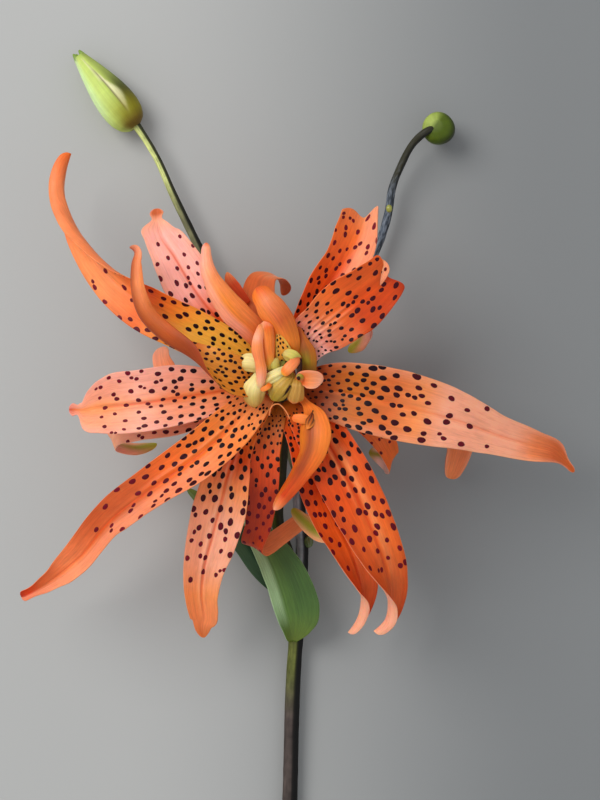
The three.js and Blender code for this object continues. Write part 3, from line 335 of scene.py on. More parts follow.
# The small petaloids of the heart
HEART = [
    dict(paint="arch", blunt=True, rows=[
        [-6, -3.6, 44.6, 1.8, 0, -70], [-6, -1, 48, 2.2, 0, -90], [-5.8, 2.3, 49.5, 3, 0, -90],
        [-6.3, 5.5, 50.5, 2.9, 0, -90], [-6.9, 8.6, 51, 3.3, 0, -90], [-6.8, 11.2, 51.2, 2.9, 0, -90],
        [-6.1, 13.7, 50.8, 2.5, 0, -90], [-5.2, 15.5, 50, 2.2, 0, -60],
    ]),
    dict(paint="arch_back", blunt=True, rows=[
        [-3, 2.6, 43.8, 1.2, 0, -40], [-3.6, 5.2, 47, 3, 0, -40], [-4.1, 8.6, 48.6, 4.2, 0, -30],
        [-4.3, 11.8, 49.4, 4.6, 0, -30], [-4.7, 15.4, 49.6, 4.2, 0, -60],
    ]),
    dict(paint="hood", blunt=True, rows=[
        [-3, 3, 46.4, 1.4, 0, -50], [-3.4, 5.6, 48.2, 2.2, 0, -70], [-3.8, 8.8, 49.5, 3, 0, -80],
        [-4.1, 12, 50.2, 3.6, 0, -90], [-4.7, 14.8, 50.4, 4.5, 0, -110], [-5, 16.3, 49.4, 3.2, 0, -110],
    ]),
    dict(paint="cream", blunt=True, pleats=(5, 0.1), rows=[
        [-4, 3.8, 43.5, 4.5, 0, -60], [-7.4, 4.6, 46.8, 5.8, 0, -110], [-10.2, 5, 46.4, 6, 0, -120],
        [-12.1, 4.9, 44.6, 4, 0, -100],
    ]),
    dict(paint="cream_low", blunt=True, pleats=(5, 0.1), rows=[
        [-5.4, 2.4, 44.8, 3.4, 0, -80], [-6.6, -0.2, 46.8, 5.8, 0, -110], [-8, -3.2, 47, 7.8, 0, -120],
        [-8, -6, 45.5, 6.6, 0, -120], [-7.7, -7.6, 43.8, 4, 0, -100],
    ]),
    dict(
        paint="dotted",
        spots=dict(start=0.3, stop=0.97, big=0.95, small=0.8, ends=0.8, gap=0.7, space=0.35, red=0),
        rows=[
            [1.4, 3, 43.5, 5, 0, 20], [0.7, 7, 46.8, 5, 0, 20], [-1.2, 13.2, 48.5, 1.4, 0, 20],
        ],
    ),
    dict(paint="ring", blunt=True, pleats=(2, 0.2), rows=[
        [4.2, 4.2, 45, 3, 0, -90], [2.6, 6.4, 48, 4, 0, -100], [0.2, 7.3, 47.4, 2.6, 0, -90],
    ]),
    dict(paint="ring", blunt=True, rows=[
        [-0.6, 2.6, 45, 2.2, 0, -80], [-1.7, 4.4, 47.5, 2.8, 0, -90], [-1.3, 6.1, 47.2, 2, 0, -80],
    ]),
    dict(paint="hollow", blunt=True, rows=[
        [-0.9, 3.8, 45.8, 2, 0, 40], [0.8, 5.4, 46, 2, 0, 40],
    ]),
    dict(paint="cream_green", blunt=True, pleats=(2, 0.2), rows=[
        [2.4, 3, 45.5, 2.6, 0, -80], [-1.2, 1.6, 48, 3, 0, -100], [-4.4, -0.3, 47.2, 2.8, 0, -90],
        [-5.2, -1.4, 46, 2, 0, -80],
    ]),
    dict(paint="fold", blunt=True, pleats=(5, 0.12), rows=[
        [2.9, 1.8, 45.6, 2.4, 0, -80], [1.2, -0.4, 48, 4.6, 0, -100], [-0.8, -2.6, 47.8, 6.4, 0, -110],
        [-2.2, -4.6, 46, 6.2, 0, -110], [-2.7, -5.6, 44.8, 4.6, 0, -90],
    ]),
    dict(paint="fold_tan", blunt=True, pleats=(4, 0.12), rows=[
        [4.2, 1, 45.6, 2.4, 0, -80], [4.1, -1.6, 48, 4, 0, -100], [3.5, -4.2, 47.2, 5.4, 0, -110],
        [2.9, -6.4, 45.2, 4.8, 0, -100],
    ]),
    # thin dark sheets of painted shade in the crevices between the folds
    dict(paint="crevice_shade", thick=0.4, least=0.2, rows=[
        [2.4, -1.5, 48.35, 0.2, 0, -60], [1.5, -2.9, 48.15, 0.5, 0, -60], [0.4, -4.1, 47.35, 0.6, 0, -60],
        [-0.9, -5, 46.7, 0.3, 0, -60],
    ]),
    dict(paint="pink_tip", blunt=True, rows=[
        [4.7, 6.6, 46.2, 1.8, 0, -40], [3.4, 4.9, 48.7, 2.8, 0, -50], [1.6, 3.1, 49.2, 3, 0, -50],
        [0.2, 1.5, 48.4, 2.2, 0, -50],
    ]),
    dict(paint="hook_end", blunt=True, thick=0.5, rows=[
        [-3.4, -1.1, 47.4, 1, 0, -60], [-4.1, -2, 48.5, 1.4, 0, -60], [-5, -2.5, 48.3, 1.3, 0, -60],
        [-5.9, -2.7, 47.4, 0.9, 0, -60],
    ]),
    dict(paint="crevice_shade", blunt=True, thick=0.3, least=0.3, rows=[
        [5.1, 6, 47.4, 0.9, 0, -40], [5, 3.4, 48.5, 1.3, 0, -60], [4.6, 0.8, 48.6, 1.2, 0, -60],
    ]),
    dict(paint="crevice_shade", blunt=True, thick=0.3, least=0.3, rows=[
        [4.4, 0.9, 49.7, 0.7, 0, -60], [4.6, 0.5, 49.9, 0.9, 0, -60], [4.8, 0, 49.7, 0.7, 0, -60],
    ]),
    dict(paint="eye", blunt=True, thick=0.4, rows=[
        [4.4, 1.5, 49.2, 1.1, 0, -60], [5.1, 0.8, 49.5, 1.8, 0, -60], [5.5, -0.3, 49.2, 1.2, 0, -60],
    ]),
    dict(paint="rim", blunt=True, thick=0.3, least=0.25, rows=[
        [-3.5, -10, 42.9, 0.15, 0, -60], [-3.2, -8, 43.5, 0.2, 0, -60], [-2.5, -7, 43.9, 0.2, 0, -60],
        [-1, -6.7, 44, 0.2, 0, -60], [0.4, -7.8, 43.8, 0.2, 0, -60], [1.5, -9.4, 43.3, 0.2, 0, -60],
        [2.1, -10.8, 42.7, 0.15, 0, -60],
    ]),
]

# Stalk centre lines: x, y, z and radius
MAIN_STEM = [
    [0.8, -166, 2, 2.3], [1.5, -140, 2.3, 2.3], [2.2, -117.6, 3, 2.3], [3.4, -79.5, 4.2, 2.2],
    [4.8, -61.6, 5, 2.1], [5.6, -46.2, 5.5, 1.9], [4.8, -35, 6, 1.9], [4.5, -24, 6, 1.7],
]
BLOOM_STALK = [
    [5.2, -57, 5, 1.9], [1.5, -48, 6.5, 1.9], [-1.2, -40, 8, 1.9], [-0.6, -28, 11.5, 1.9],
    [0, -15, 17, 1.9], [-0.6, -5, 23, 2.1], [-1, 0, 29, 3],
]
LEFT_STALK = [
    [4.5, -26, 6, 1.6], [-2, -8, 6, 1.5], [-11, 12, 6, 1.5], [-19, 28, 6, 1.5], [-24, 38.5, 6, 1.3],
    [-30.5, 52, 6, 1.2], [-35.5, 63, 6, 1.1], [-39.6, 69.6, 6, 1.15], [-41.6, 72.4, 6, 1.4],
]
RIGHT_STALK = [
    [4.5, -26, 6, 1.6], [6.2, -6, 6, 1.3], [13.6, 17, 6, 1.3], [25.3, 34, 5.5, 1.25], [28.5, 42, 5.5, 1.2],
    [30, 48, 6, 1.2], [30.7, 53, 6.5, 1.15], [33.3, 60, 8, 1.1], [37.2, 66.8, 10.5, 1.1],
    [40.6, 69.7, 12.2, 1.1], [42.3, 70.5, 11.6, 1],
]

# Colours as they show in daylight; some of them are painted light and shade, as noted where they are used
OCHRE = srgb(230, 150, 48)
OCHRE_DARK = srgb(190, 98, 12)
OCHRE_PALE = srgb(252, 178, 58)
AMBER = srgb(246, 128, 46)
ORANGE = srgb(242, 108, 34)
LIGHT = srgb(250, 144, 82)
SALMON = srgb(255, 166, 132)
PINK = srgb(255, 170, 154)
PALE_PINK = srgb(255, 200, 186)
LIGHT_PINK = srgb(255, 156, 116)
DEEP = srgb(222, 76, 4)
RED_ORANGE = srgb(204, 58, 2)
RED_BROWN = srgb(150, 58, 12)
RED_DARK = srgb(170, 46, 2)
RUST = srgb(186, 82, 20)
BACK = srgb(240, 132, 78)
BACK_DARK = srgb(200, 92, 40)
BROWN = srgb(150, 84, 26)
ORANGE_BROWN = srgb(216, 106, 44)
OLIVE = srgb(150, 130, 30)
GREEN_TIP = srgb(150, 146, 24)
GREEN_LIGHT = srgb(214, 206, 96)
CREAM = srgb(238, 220, 148)
CREAM_DARK = srgb(206, 178, 96)
PALE_GREEN = srgb(214, 220, 160)
YELLOW_OLIVE = srgb(190, 148, 58)
TAN = srgb(194, 144, 66)
# Near black brown: the painted shade in the heart's crevices and in the front petaloid's hollow
CREVICE_SHADE = srgb(44, 14, 3)
LEAF = srgb(84, 116, 46)
LEAF_OLIVE = srgb(96, 112, 26)
# Pale leaf green: the leaf's underside, and painted light on the front leaf's left half
LEAF_PALE_AND_PAINTED_LIGHT = srgb(170, 200, 148)
# Dark leaf green: the leaf further back, and painted shade on the front leaf's right half
LEAF_DARK_AND_PAINTED_SHADE = srgb(8, 52, 20)
LEAF_EDGE = srgb(120, 150, 110)
STEM_BROWN = srgb(70, 60, 56)
# Near black: the painted shade on the right sides of the stem and stalks
STEM_PAINTED_SHADE = srgb(10, 8, 7)
STEM_OLIVE = srgb(96, 104, 34)
STALK_GREEN = srgb(204, 212, 132)
STALK_GREY = srgb(106, 106, 76)
STALK_BLUE = srgb(56, 66, 78)
STALK_DARK = srgb(40, 38, 18)
# Pale grey of the stem's waxy bloom, brightened as a painted highlight
STALK_WAX_AND_HIGHLIGHT = srgb(146, 150, 156)
GOLD = srgb(240, 132, 40)
DULL = srgb(196, 98, 38)
SPOT = srgb(28, 3, 12)
SPOT_RED = srgb(112, 8, 30)

# What each kind of blade looks like. front and back are colours along the length, the others are
# a colour and how far it comes through: at the margins, on the left and right side, along the
# midrib and on the ridges. Along the midrib its width in mm and where it starts follow, and for
# middle where it ends. A back of one colour is given as that colour, and one left out is BACK.
PAINTS = {
    "curl_top": dict(
        front=[(0, ORANGE), (0.35, DULL), (0.62, BACK_DARK), (0.74, BACK), (0.82, SALMON),
               (0.9, BACK_DARK), (1, RUST)],
        back=[(0, BACK), (0.75, BACK), (0.9, RUST), (1, RUST)], left=(ORANGE, 0.3),
    ),
    "curl": dict(front=[(0, ORANGE), (0.5, DEEP), (0.8, BACK), (1, SALMON)], back=[(0, BACK), (1, LIGHT)]),
    "hook": dict(
        front=[(0, ORANGE), (0.6, BACK_DARK), (1, BACK)], back=[(0, BACK), (1, BACK_DARK)],
        rim=(SALMON, 0.4),
    ),
    "green_tip": dict(
        front=[(0, OCHRE), (0.2, SALMON), (0.6, SALMON), (1, LIGHT)],
        back=[(0, BACK), (0.7, PINK), (0.9, SALMON), (1, GREEN_TIP)], back_rib=(GREEN_TIP, 0.95, 1.5, 0.86),
    ),
    "green_tip_deep": dict(
        front=[(0, OCHRE), (0.25, DEEP), (0.5, ORANGE), (1, ORANGE)],
        back=[(0, BACK), (0.66, PALE_PINK), (0.95, PALE_PINK), (1, GREEN_TIP)],
        back_rib=(GREEN_TIP, 0.95, 1, 0.84),
    ),
    "green_half": dict(
        front=[(0, OCHRE), (0.3, DEEP), (1, BACK)], back=[(0, BACK), (1, SALMON)],
        back_rib=(GREEN_TIP, 1, 1.9, 0.74), rim=(SALMON, 0.5),
    ),
    "ochre_base": dict(
        front=[(0, OCHRE_PALE), (0.24, OCHRE_PALE), (0.4, ORANGE), (0.55, LIGHT), (0.72, LIGHT),
               (0.92, ORANGE), (1, ORANGE)],
        back=[(0, BACK), (0.75, BACK), (0.9, BACK), (1, ORANGE)], right=(ORANGE, 0.4), rim=(DEEP, 0.2),
    ),
    "salmon": dict(
        front=[(0, OCHRE), (0.1, PINK), (0.22, LIGHT), (0.32, ORANGE), (0.5, PINK), (0.85, PINK),
               (0.93, SALMON), (0.97, BACK_DARK)],
        groove=(DEEP, 0.8), rim=(SALMON, 0.5),
    ),
    "deep_fold": dict(
        front=[(0, RED_BROWN), (0.2, RED_ORANGE), (0.42, RED_ORANGE), (0.6, DEEP), (0.85, ORANGE),
               (1, BACK)],
        # the right half is painted light pink, partly its own colour and partly painted light where it faces
        # the lamp
        right=(LIGHT_PINK, 0.8), left=(ORANGE, 0.4), groove=(RED_ORANGE, 0.6),
    ),
    "base_in_painted_shade": dict(
        # the foot, where the heart shades it, is darkened to red brown as painted shade
        front=[(0, RED_BROWN), (0.08, RED_BROWN), (0.18, OCHRE_DARK), (0.3, ORANGE_BROWN), (0.4, LIGHT),
               (0.48, SALMON), (0.74, SALMON), (0.82, BACK), (0.9, BACK_DARK), (1, RUST)],
        rim=(SALMON, 0.4), groove=(ORANGE, 0.4),
    ),
    "deep": dict(
        front=[(0, OCHRE_DARK), (0.12, DEEP), (0.4, DEEP), (0.6, ORANGE), (0.8, BACK_DARK), (1, DEEP)],
        back=[(0, BACK), (0.8, SALMON), (1, SALMON)], right=(DEEP, 0.4), left=(ORANGE, 0.4),
        rim=(RED_DARK, 0.35), ridge=(LIGHT, 0.7), groove=(RED_ORANGE, 0.7),
    ),
    "deepest": dict(
        front=[(0, BROWN), (0.1, OCHRE_DARK), (0.26, DEEP), (0.4, RED_DARK), (0.6, RED_DARK), (0.8, DEEP),
               (1, DEEP)],
        back=[(0, BACK_DARK), (0.75, BACK), (1, BACK)], groove=(RED_BROWN, 0.3),
    ),
    "light_end": dict(
        front=[(0, ORANGE), (0.12, AMBER), (0.24, DEEP), (0.36, LIGHT), (0.48, SALMON), (0.66, SALMON),
               (0.8, LIGHT), (0.93, BACK), (1, DULL)],
        ridge=(SALMON, 0.35), groove=(DEEP, 0.7), right=(ORANGE, 0.3),
    ),
    "orange_base": dict(
        front=[(0, LIGHT), (0.18, AMBER), (0.36, ORANGE), (0.5, BACK_DARK), (0.65, BACK_DARK), (0.8, BACK),
               (0.92, BACK_DARK), (0.97, RED_ORANGE), (1, RED_DARK)],
        left=(LIGHT_PINK, 0.6), right=(DEEP, 0.12), ridge=(LIGHT, 0.5), groove=(DEEP, 0.7),
    ),
    "salmon_end": dict(
        front=[(0, ORANGE), (0.15, LIGHT), (0.42, BACK), (0.6, SALMON), (0.8, LIGHT), (0.93, LIGHT),
               (1, RED_ORANGE)],
        right=(PINK, 0.5), left=(PINK, 0.3), groove=(DEEP, 0.8), rim=(PINK, 0.5), ridge=(ORANGE, 0.3),
    ),
    "pleated": dict(
        front=[(0, PALE_PINK), (0.26, PINK), (0.4, BACK), (0.52, ORANGE), (0.66, DEEP), (0.9, DEEP),
               (1, RED_ORANGE)],
        ridge=(SALMON, 0.6), right=(RED_DARK, 0.4), left=(ORANGE, 0.5),
    ),
    "fold_lobe": dict(front=[(0, DEEP), (0.5, ORANGE), (1, LIGHT)], right=(SALMON, 0.5)),
    "ragged": dict(front=[(0, RED_ORANGE), (0.6, DEEP), (1, LIGHT)]),
    "front_lobe": dict(front=[(0, AMBER), (0.6, AMBER), (1, ORANGE)]),
    "hook_end": dict(front=[(0, ORANGE), (0.6, GOLD), (1, BACK)], back=ORANGE),
    "eye": dict(front=[(0, OLIVE), (0.5, OLIVE), (1, BACK_DARK)], back=OLIVE),
    "petaloid_left": dict(
        front=[(0, OCHRE_DARK), (0.3, OCHRE), (0.45, DEEP), (1, ORANGE)],
        back=[(0, DULL), (0.2, RED_BROWN), (0.4, RED_BROWN), (0.52, RUST), (0.68, DULL), (0.82, LIGHT),
              (0.93, BACK), (1, SALMON)],
        back_rib=(RED_BROWN, 0.85, 1.8, 0.2),
    ),
    "petaloid": dict(
        front=[(0, OCHRE_DARK), (0.2, ORANGE_BROWN), (0.5, GOLD), (0.7, LIGHT), (0.85, SALMON),
               (0.96, SALMON), (1, DEEP)],
        left=(PINK, 0.5), right=(BACK, 0.4),
    ),
    "petaloid_centre": dict(
        front=[(0, OLIVE), (0.12, OCHRE_DARK), (0.3, GOLD), (0.55, BACK_DARK), (0.82, BACK),
               (0.92, ORANGE), (1, DEEP)],
        left=(GOLD, 0.5), right=(OCHRE_DARK, 0.3),
    ),
    "petaloid_front": dict(
        front=[(0, ORANGE), (0.2, AMBER), (0.45, GOLD), (0.7, DEEP), (0.86, RED_ORANGE), (0.95, BACK),
               (1, SALMON)],
        right=(OCHRE_DARK, 0.5), left=(ORANGE, 0.3), middle=(RED_BROWN, 0.9, 1.8, 0.22, 0.78),
    ),
    # its rim and grooves are darkened with painted shade
    "hollow_rim": dict(
        front=[(0, CREVICE_SHADE), (0.3, RED_BROWN), (0.75, OCHRE_DARK), (1, GOLD)], back=CREVICE_SHADE, rim=(CREVICE_SHADE, 0.8),
        groove=(CREVICE_SHADE, 0.9),
    ),
    "olive": dict(
        front=[(0, BROWN), (0.3, OLIVE), (0.55, BROWN), (1, BACK_DARK)], back=BROWN,
        right=(OCHRE_DARK, 0.6), rim=(OCHRE_DARK, 0.4),
    ),
    "spoon": dict(front=[(0, BACK_DARK), (0.3, ORANGE), (0.55, LIGHT), (1, SALMON)], rim=(SALMON, 0.6)),
    "arch": dict(
        front=[(0, CREAM), (0.3, SALMON), (0.45, LIGHT), (0.55, BACK), (0.7, LIGHT), (0.8, SALMON),
               (1, AMBER)],
        rim=(SALMON, 0.4), right=(AMBER, 0.4),
    ),
    "arch_back": dict(
        front=[(0, CREAM_DARK), (0.3, OCHRE), (0.5, GOLD), (0.75, AMBER), (1, ORANGE)], back=OCHRE,
        left=(OCHRE_PALE, 0.4), right=(ORANGE, 0.6),
    ),
    "hood": dict(
        front=[(0, GREEN_LIGHT), (0.15, OCHRE_PALE), (0.35, AMBER), (0.7, AMBER), (0.85, ORANGE),
               (1, SALMON)],
        back=ORANGE, left=(LIGHT, 0.5), rim=(SALMON, 0.3),
    ),
    "cream": dict(
        front=[(0, PALE_GREEN), (0.35, CREAM), (0.75, CREAM), (1, TAN)], back=CREAM_DARK,
        left=(CREAM_DARK, 0.6),
    ),
    "cream_low": dict(
        front=[(0, PALE_GREEN), (0.25, CREAM), (0.45, CREAM), (0.7, CREAM_DARK), (1, TAN)], back=CREAM_DARK,
        left=(TAN, 0.6),
    ),
    "cream_green": dict(front=[(0, PALE_GREEN), (0.5, CREAM), (1, CREAM_DARK)], back=CREAM_DARK),
    "dotted": dict(front=[(0, OLIVE), (0.5, OCHRE), (1, OCHRE)], back=OCHRE, rim=(GREEN_LIGHT, 0.5)),
    "ring": dict(front=[(0, PALE_GREEN), (0.4, GREEN_LIGHT), (1, CREAM_DARK)], back=OLIVE),
    "hollow": dict(front=[(0, OLIVE), (1, LEAF_OLIVE)], back=OLIVE),
    "fold": dict(
        front=[(0, YELLOW_OLIVE), (0.5, YELLOW_OLIVE), (1, OLIVE)], back=OLIVE, right=(CREAM_DARK, 0.5),
    ),
    "fold_tan": dict(front=[(0, YELLOW_OLIVE), (0.5, TAN), (0.85, TAN), (1, BACK)], back=OLIVE),
    "pink_tip": dict(
        front=[(0, BACK_DARK), (0.35, BACK), (0.7, LIGHT), (0.88, AMBER), (1, OCHRE_PALE)],
        rim=(LIGHT, 0.4),
    ),
    # thin dark sheets that stand for the painted shade in crevices
    "crevice_shade": dict(front=[(0, CREVICE_SHADE), (1, CREVICE_SHADE)], back=CREVICE_SHADE),
    "rim": dict(front=[(0, BACK), (0.5, LIGHT), (1, BACK)], back=BACK_DARK),
    "leaf": dict(
        front=[(0, LEAF_OLIVE), (0.25, LEAF), (0.6, LEAF), (1, LEAF_OLIVE)], back=LEAF_PALE_AND_PAINTED_LIGHT,
        # the left half, which faces the lamp, is painted pale as painted light, and the right half is
        # darkened with painted shade
        left=(LEAF_PALE_AND_PAINTED_LIGHT, 1), right=(LEAF_DARK_AND_PAINTED_SHADE, 0.45),
    ),
    "leaf_dark": dict(
        front=[(0, LEAF_DARK_AND_PAINTED_SHADE), (0.75, LEAF_DARK_AND_PAINTED_SHADE), (1, LEAF_OLIVE)], back=LEAF, left=(LEAF_EDGE, 0.25),
    ),
}


def blend(a, b, amount):
    amount = np.asarray(amount, float)[..., None]
    return a * (1 - amount) + b * amount


def along_stops(stops, t):
    if isinstance(stops, np.ndarray):
        stops = [(0, stops), (1, stops)]
    at = [stop[0] for stop in stops]
    return np.stack([np.interp(t, at, [stop[1][c] for stop in stops]) for c in range(3)], -1)


def bump_at(blade, s, t, where, width):
    """1 on a line at share where of the width, falling to 0 about width mm beside it."""
    half = np.maximum(np.interp(t, blade.t, blade.width) / 2, 0.5)
    return np.exp(-(((s - where) * half / width) ** 2))


def face_tint(paint, blade, s, t):
    tint = along_stops(paint["front"], t)
    reaches = {
        "left": (smooth(0.02, 0.45, -s), smooth(0.1, 0.35, t)),
        "right": (smooth(0.02, 0.45, s), smooth(0.1, 0.35, t)),
        "rim": (smooth(0.6, 1, np.abs(s)), smooth(0.05, 0.25, t)),
    }
    for kind, (across, along) in reaches.items():
        if kind in paint:
            colour, amount = paint[kind]
            tint = blend(tint, colour, amount * across * along)
    if "middle" in paint:
        colour, amount, width, first, last = paint["middle"]
        reach = smooth(first - 0.1, first + 0.1, t) * (1 - smooth(last - 0.15, last + 0.1, t))
        tint = blend(tint, colour, amount * reach * bump_at(blade, s, t, 0.1, width))
    for where, height, width, first, last in blade.ridges:
        kind = "ridge" if height > 0 else "groove"
        if kind in paint:
            colour, amount = paint[kind]
            reach = smooth(first - 0.02, first + 0.1, t) * (1 - smooth(last - 0.3, last, t))
            tint = blend(tint, colour, amount * reach * bump_at(blade, s, t, where, width * 0.8))
    return tint


def back_tint(paint, blade, s, t):
    tint = along_stops(paint.get("back", BACK), t)
    if "back_rib" in paint:
        colour, amount, width, first = paint["back_rib"]
        reach = smooth(first - 0.12, first + 0.06, t)
        tint = blend(tint, colour, amount * reach * bump_at(blade, s, t, 0, width))
    return tint


# Geometry of a blade. Its midrib has LINE_STEPS steps and half its width FINE steps before it is
# sampled, more finely towards its end. Its ruffle changes every RUFFLE_STEP mm. An end is rounded off
# over a share of its width.
LINE_STEPS = 160
END_FINENESS = 1.4
FINE = 96
RUFFLE_STEP = 4.5
END_ROUNDING = 0.9
BLUNT_ROUNDING = 0.4
UP = np.array([0.0, 0.0, 1.0])


def through_rows(rows):
    """The rows in place, filled up to eight numbers, with knots spaced by the distance between them."""
    full = np.zeros((len(rows), 8))
    for i, row in enumerate(rows):
        full[i, :3] = place(row[0], row[1], row[2])
        full[i, 3:len(row)] = row[3:]
    knots = np.concatenate([[0], np.cumsum(np.linalg.norm(np.diff(full[:, :3], axis=0), axis=1))])
    return full, knots


def hermite(values, knots, at):
    """A smooth curve through values given at knots."""
    h = np.diff(knots)
    d = np.diff(values, axis=0) / h[:, None]
    m = np.zeros_like(values)
    m[1:-1] = (d[1:] * h[:-1, None] + d[:-1] * h[1:, None]) / (h[:-1] + h[1:])[:, None]
    m[0] = 1.5 * d[0] - 0.5 * m[1]
    m[-1] = 1.5 * d[-1] - 0.5 * m[-2]
    i = np.clip(np.searchsorted(knots, at, side="right") - 1, 0, len(h) - 1)
    u = ((at - knots[i]) / h[i])[:, None]
    hi = h[i][:, None]
    a = 2 * u ** 3 - 3 * u ** 2 + 1
    b = u ** 3 - 2 * u ** 2 + u
    c = -2 * u ** 3 + 3 * u ** 2
    e = u ** 3 - u ** 2
    return a * values[i] + b * hi * m[i] + c * values[i + 1] + e * hi * m[i + 1]


def unit(v):
    return v / np.maximum(np.linalg.norm(v, axis=-1, keepdims=True), 1e-12)


def carried_along(n, tangents):
    """The direction n at each tangent, square to it and twisted as little as can be."""
    out = np.zeros_like(tangents)
    for k, T in enumerate(tangents):
        n = unit(n - n.dot(T) * T)
        out[k] = n
    return out


def soft_noise(rng, count, step):
    """Smooth random values between -1 and 1, one for each of count places, step places apart."""
    knots = max(4, int(count / step) + 3)
    values = np.array([rng.uniform(-1, 1) for _ in range(knots)])
    x = np.linspace(0, knots - 1.001, count)
    i = x.astype(int)
    f = x - i
    f = f * f * (3 - 2 * f)
    return values[i] * (1 - f) + values[np.minimum(i + 1, knots - 1)] * f


def at_shares(fine, share):
    """Values in FINE steps from the midrib to the margin, read at shares of that way."""
    x = share * FINE
    i = np.minimum(x.astype(int), FINE - 1)
    return (fine[:, i] * (1 - (x - i)) + fine[:, i + 1] * (x - i))[..., None]


class Blade:
    """The middle surface of a petal or leaf, at shares t of its length and s across, -1 to 1."""

    def __init__(self, spec, seed, ruffle, stations=80, half=24):
        rows, knots = through_rows(spec["rows"])
        line = hermite(rows, knots, np.linspace(0, knots[-1], LINE_STEPS + 1))
        tangent = unit(np.gradient(line[:, :3], axis=0))
        upright = carried_along(UP, tangent)
        self.length = np.sum(np.linalg.norm(np.diff(line[:, :3], axis=0), axis=1))
        self.t = 1 - (1 - np.linspace(0, 1, stations + 1)) ** END_FINENESS
        self.s = np.linspace(-1, 1, 2 * half + 1)
        self.ridges = spec.get("ridges", [])
        at = self.t * LINE_STEPS
        steps = np.arange(LINE_STEPS + 1)

        def pick(values):
            return np.stack([np.interp(at, steps, column) for column in values.T], 1)

        row = pick(line)
        T = unit(pick(tangent))
        N = pick(upright)
        N = unit(N - np.sum(N * T, 1, keepdims=True) * T)
        across = np.cross(T, N)
        roll = np.radians(row[:, 4:5])
        S = across * np.cos(roll) - N * np.sin(roll)
        F = N * np.cos(roll) + across * np.sin(roll)
        self.width = self.taper(row[:, 3], spec)
        apart = LINE_STEPS * RUFFLE_STEP / self.length
        loose = np.interp(at, steps, soft_noise(random.Random(seed), LINE_STEPS + 1, apart))
        loose = ruffle * loose * np.minimum(1, 4 * self.t) * np.minimum(1, self.width / 6)
        self.P = np.zeros((stations + 1, 2 * half + 1, 3))
        self.N = np.zeros_like(self.P)
        share = np.linspace(0, 1, half + 1)
        fs = np.linspace(0, 1, FINE + 1)
        for side, ear in ((-1, spec.get("left_ear")), (1, spec.get("right_ear"))):
            half_width = self.width / 2 * (1 + side * row[:, 7])
            turn = np.radians(row[:, 5:6] + side * row[:, 6:7]) / 2 * fs[None]
            turn = turn + math.radians(spec.get("keel", 0)) / 2 * np.tanh(fs / 0.15)[None]
            turn = turn + self.wave(spec, side, fs)
            mid = (turn[:, 1:] + turn[:, :-1]) / 2
            start = np.zeros((len(self.t), 1))
            out = np.concatenate([start, np.cumsum(np.cos(mid), 1)], 1) * half_width[:, None] / FINE
            up = np.concatenate([start, np.cumsum(np.sin(mid), 1)], 1) * half_width[:, None] / FINE
            point = row[:, None, :3] + S[:, None] * side * at_shares(out, share)
            point = point + F[:, None] * at_shares(up, share)
            if ear:
                point = point + T[:, None] * at_shares(self.ear(ear, fs), share)
            angle = at_shares(turn, share)
            normal = F[:, None] * np.cos(angle) - S[:, None] * side * np.sin(angle)
            lift = loose[:, None] * share[None] ** 3 + self.relief(spec, side * share)
            columns = half + side * np.arange(half + 1)
            self.P[:, columns] = point + normal * lift[..., None]
            self.N[:, columns] = normal

    def taper(self, width, spec):
        """The width along the blade, rounded off at its end unless the end has ears."""
        width = np.maximum(width, spec.get("least", 0.9))
        if "left_ear" not in spec:
            share = BLUNT_ROUNDING if spec.get("blunt") else END_ROUNDING
            rounding = np.maximum(width * share, 0.8)
            inside = np.clip(1 - (1 - self.t) * self.length / rounding, 0, 1)
            width = width * np.sqrt(1 - inside ** 2)
        return np.maximum(width, 0.12)

    def wave(self, spec, side, fs):
        """The turn that the waves of a margin add, growing towards the margin."""
        grow = np.clip((fs - 0.35) / 0.65, 0, 1)[None] * np.minimum(1, 3 * self.t)[:, None]
        phase = 2 * math.pi * spec.get("waves", 3) * self.t + (0 if side > 0 else 2)
        return math.radians(spec.get("wave", 0)) * grow * np.sin(phase)[:, None]

    def ear(self, ear, fs):
        """How much further along the blade the end of one side reaches."""
        lift, at, drop = ear
        inner = np.sin(math.pi / 2 * np.minimum(fs / at, 1)) ** 2
        outer = 1 - drop * ((fs - at) / (1 - at)) ** 2
        grow = np.clip((self.t - 0.6) / 0.4, 0, 1)[:, None] ** 2
        return lift * grow * np.where(fs < at, inner, outer)[None]

    def relief(self, spec, s):
        """How far ridges, grooves and pleats stand out of the middle surface."""
        t = self.t[:, None]
        lift = np.zeros((len(self.t), len(s)))
        for where, height, width, first, last in self.ridges:
            reach = smooth(first - 0.02, first + 0.08, t) * (1 - smooth(last - 0.12, last, t))
            lift = lift + height * reach * bump_at(self, s[None], t, where, width)
        if "pleats" in spec:
            count, depth = spec["pleats"]
            lift = lift + depth * np.cos(math.pi * count * s)[None] * (1 - smooth(0.8, 1, t))
        return lift

    def at(self, t, s):
        """Point and normal at shares t of the length and s across."""
        x = np.interp(np.clip(t, 0, 1), self.t, np.arange(len(self.t)))
        j = np.minimum(x.astype(int), len(self.t) - 2)
        g = (x - j)[:, None]
        y = np.interp(np.clip(s, -1, 1), self.s, np.arange(len(self.s)))
        i = np.minimum(y.astype(int), len(self.s) - 2)
        h = (y - i)[:, None]
        out = []
        for A in (self.P, self.N):
            low = A[j, i] * (1 - h) + A[j, i + 1] * h
            high = A[j + 1, i] * (1 - h) + A[j + 1, i + 1] * h
            out.append(low * (1 - g) + high * g)
        return out[0], unit(out[1])


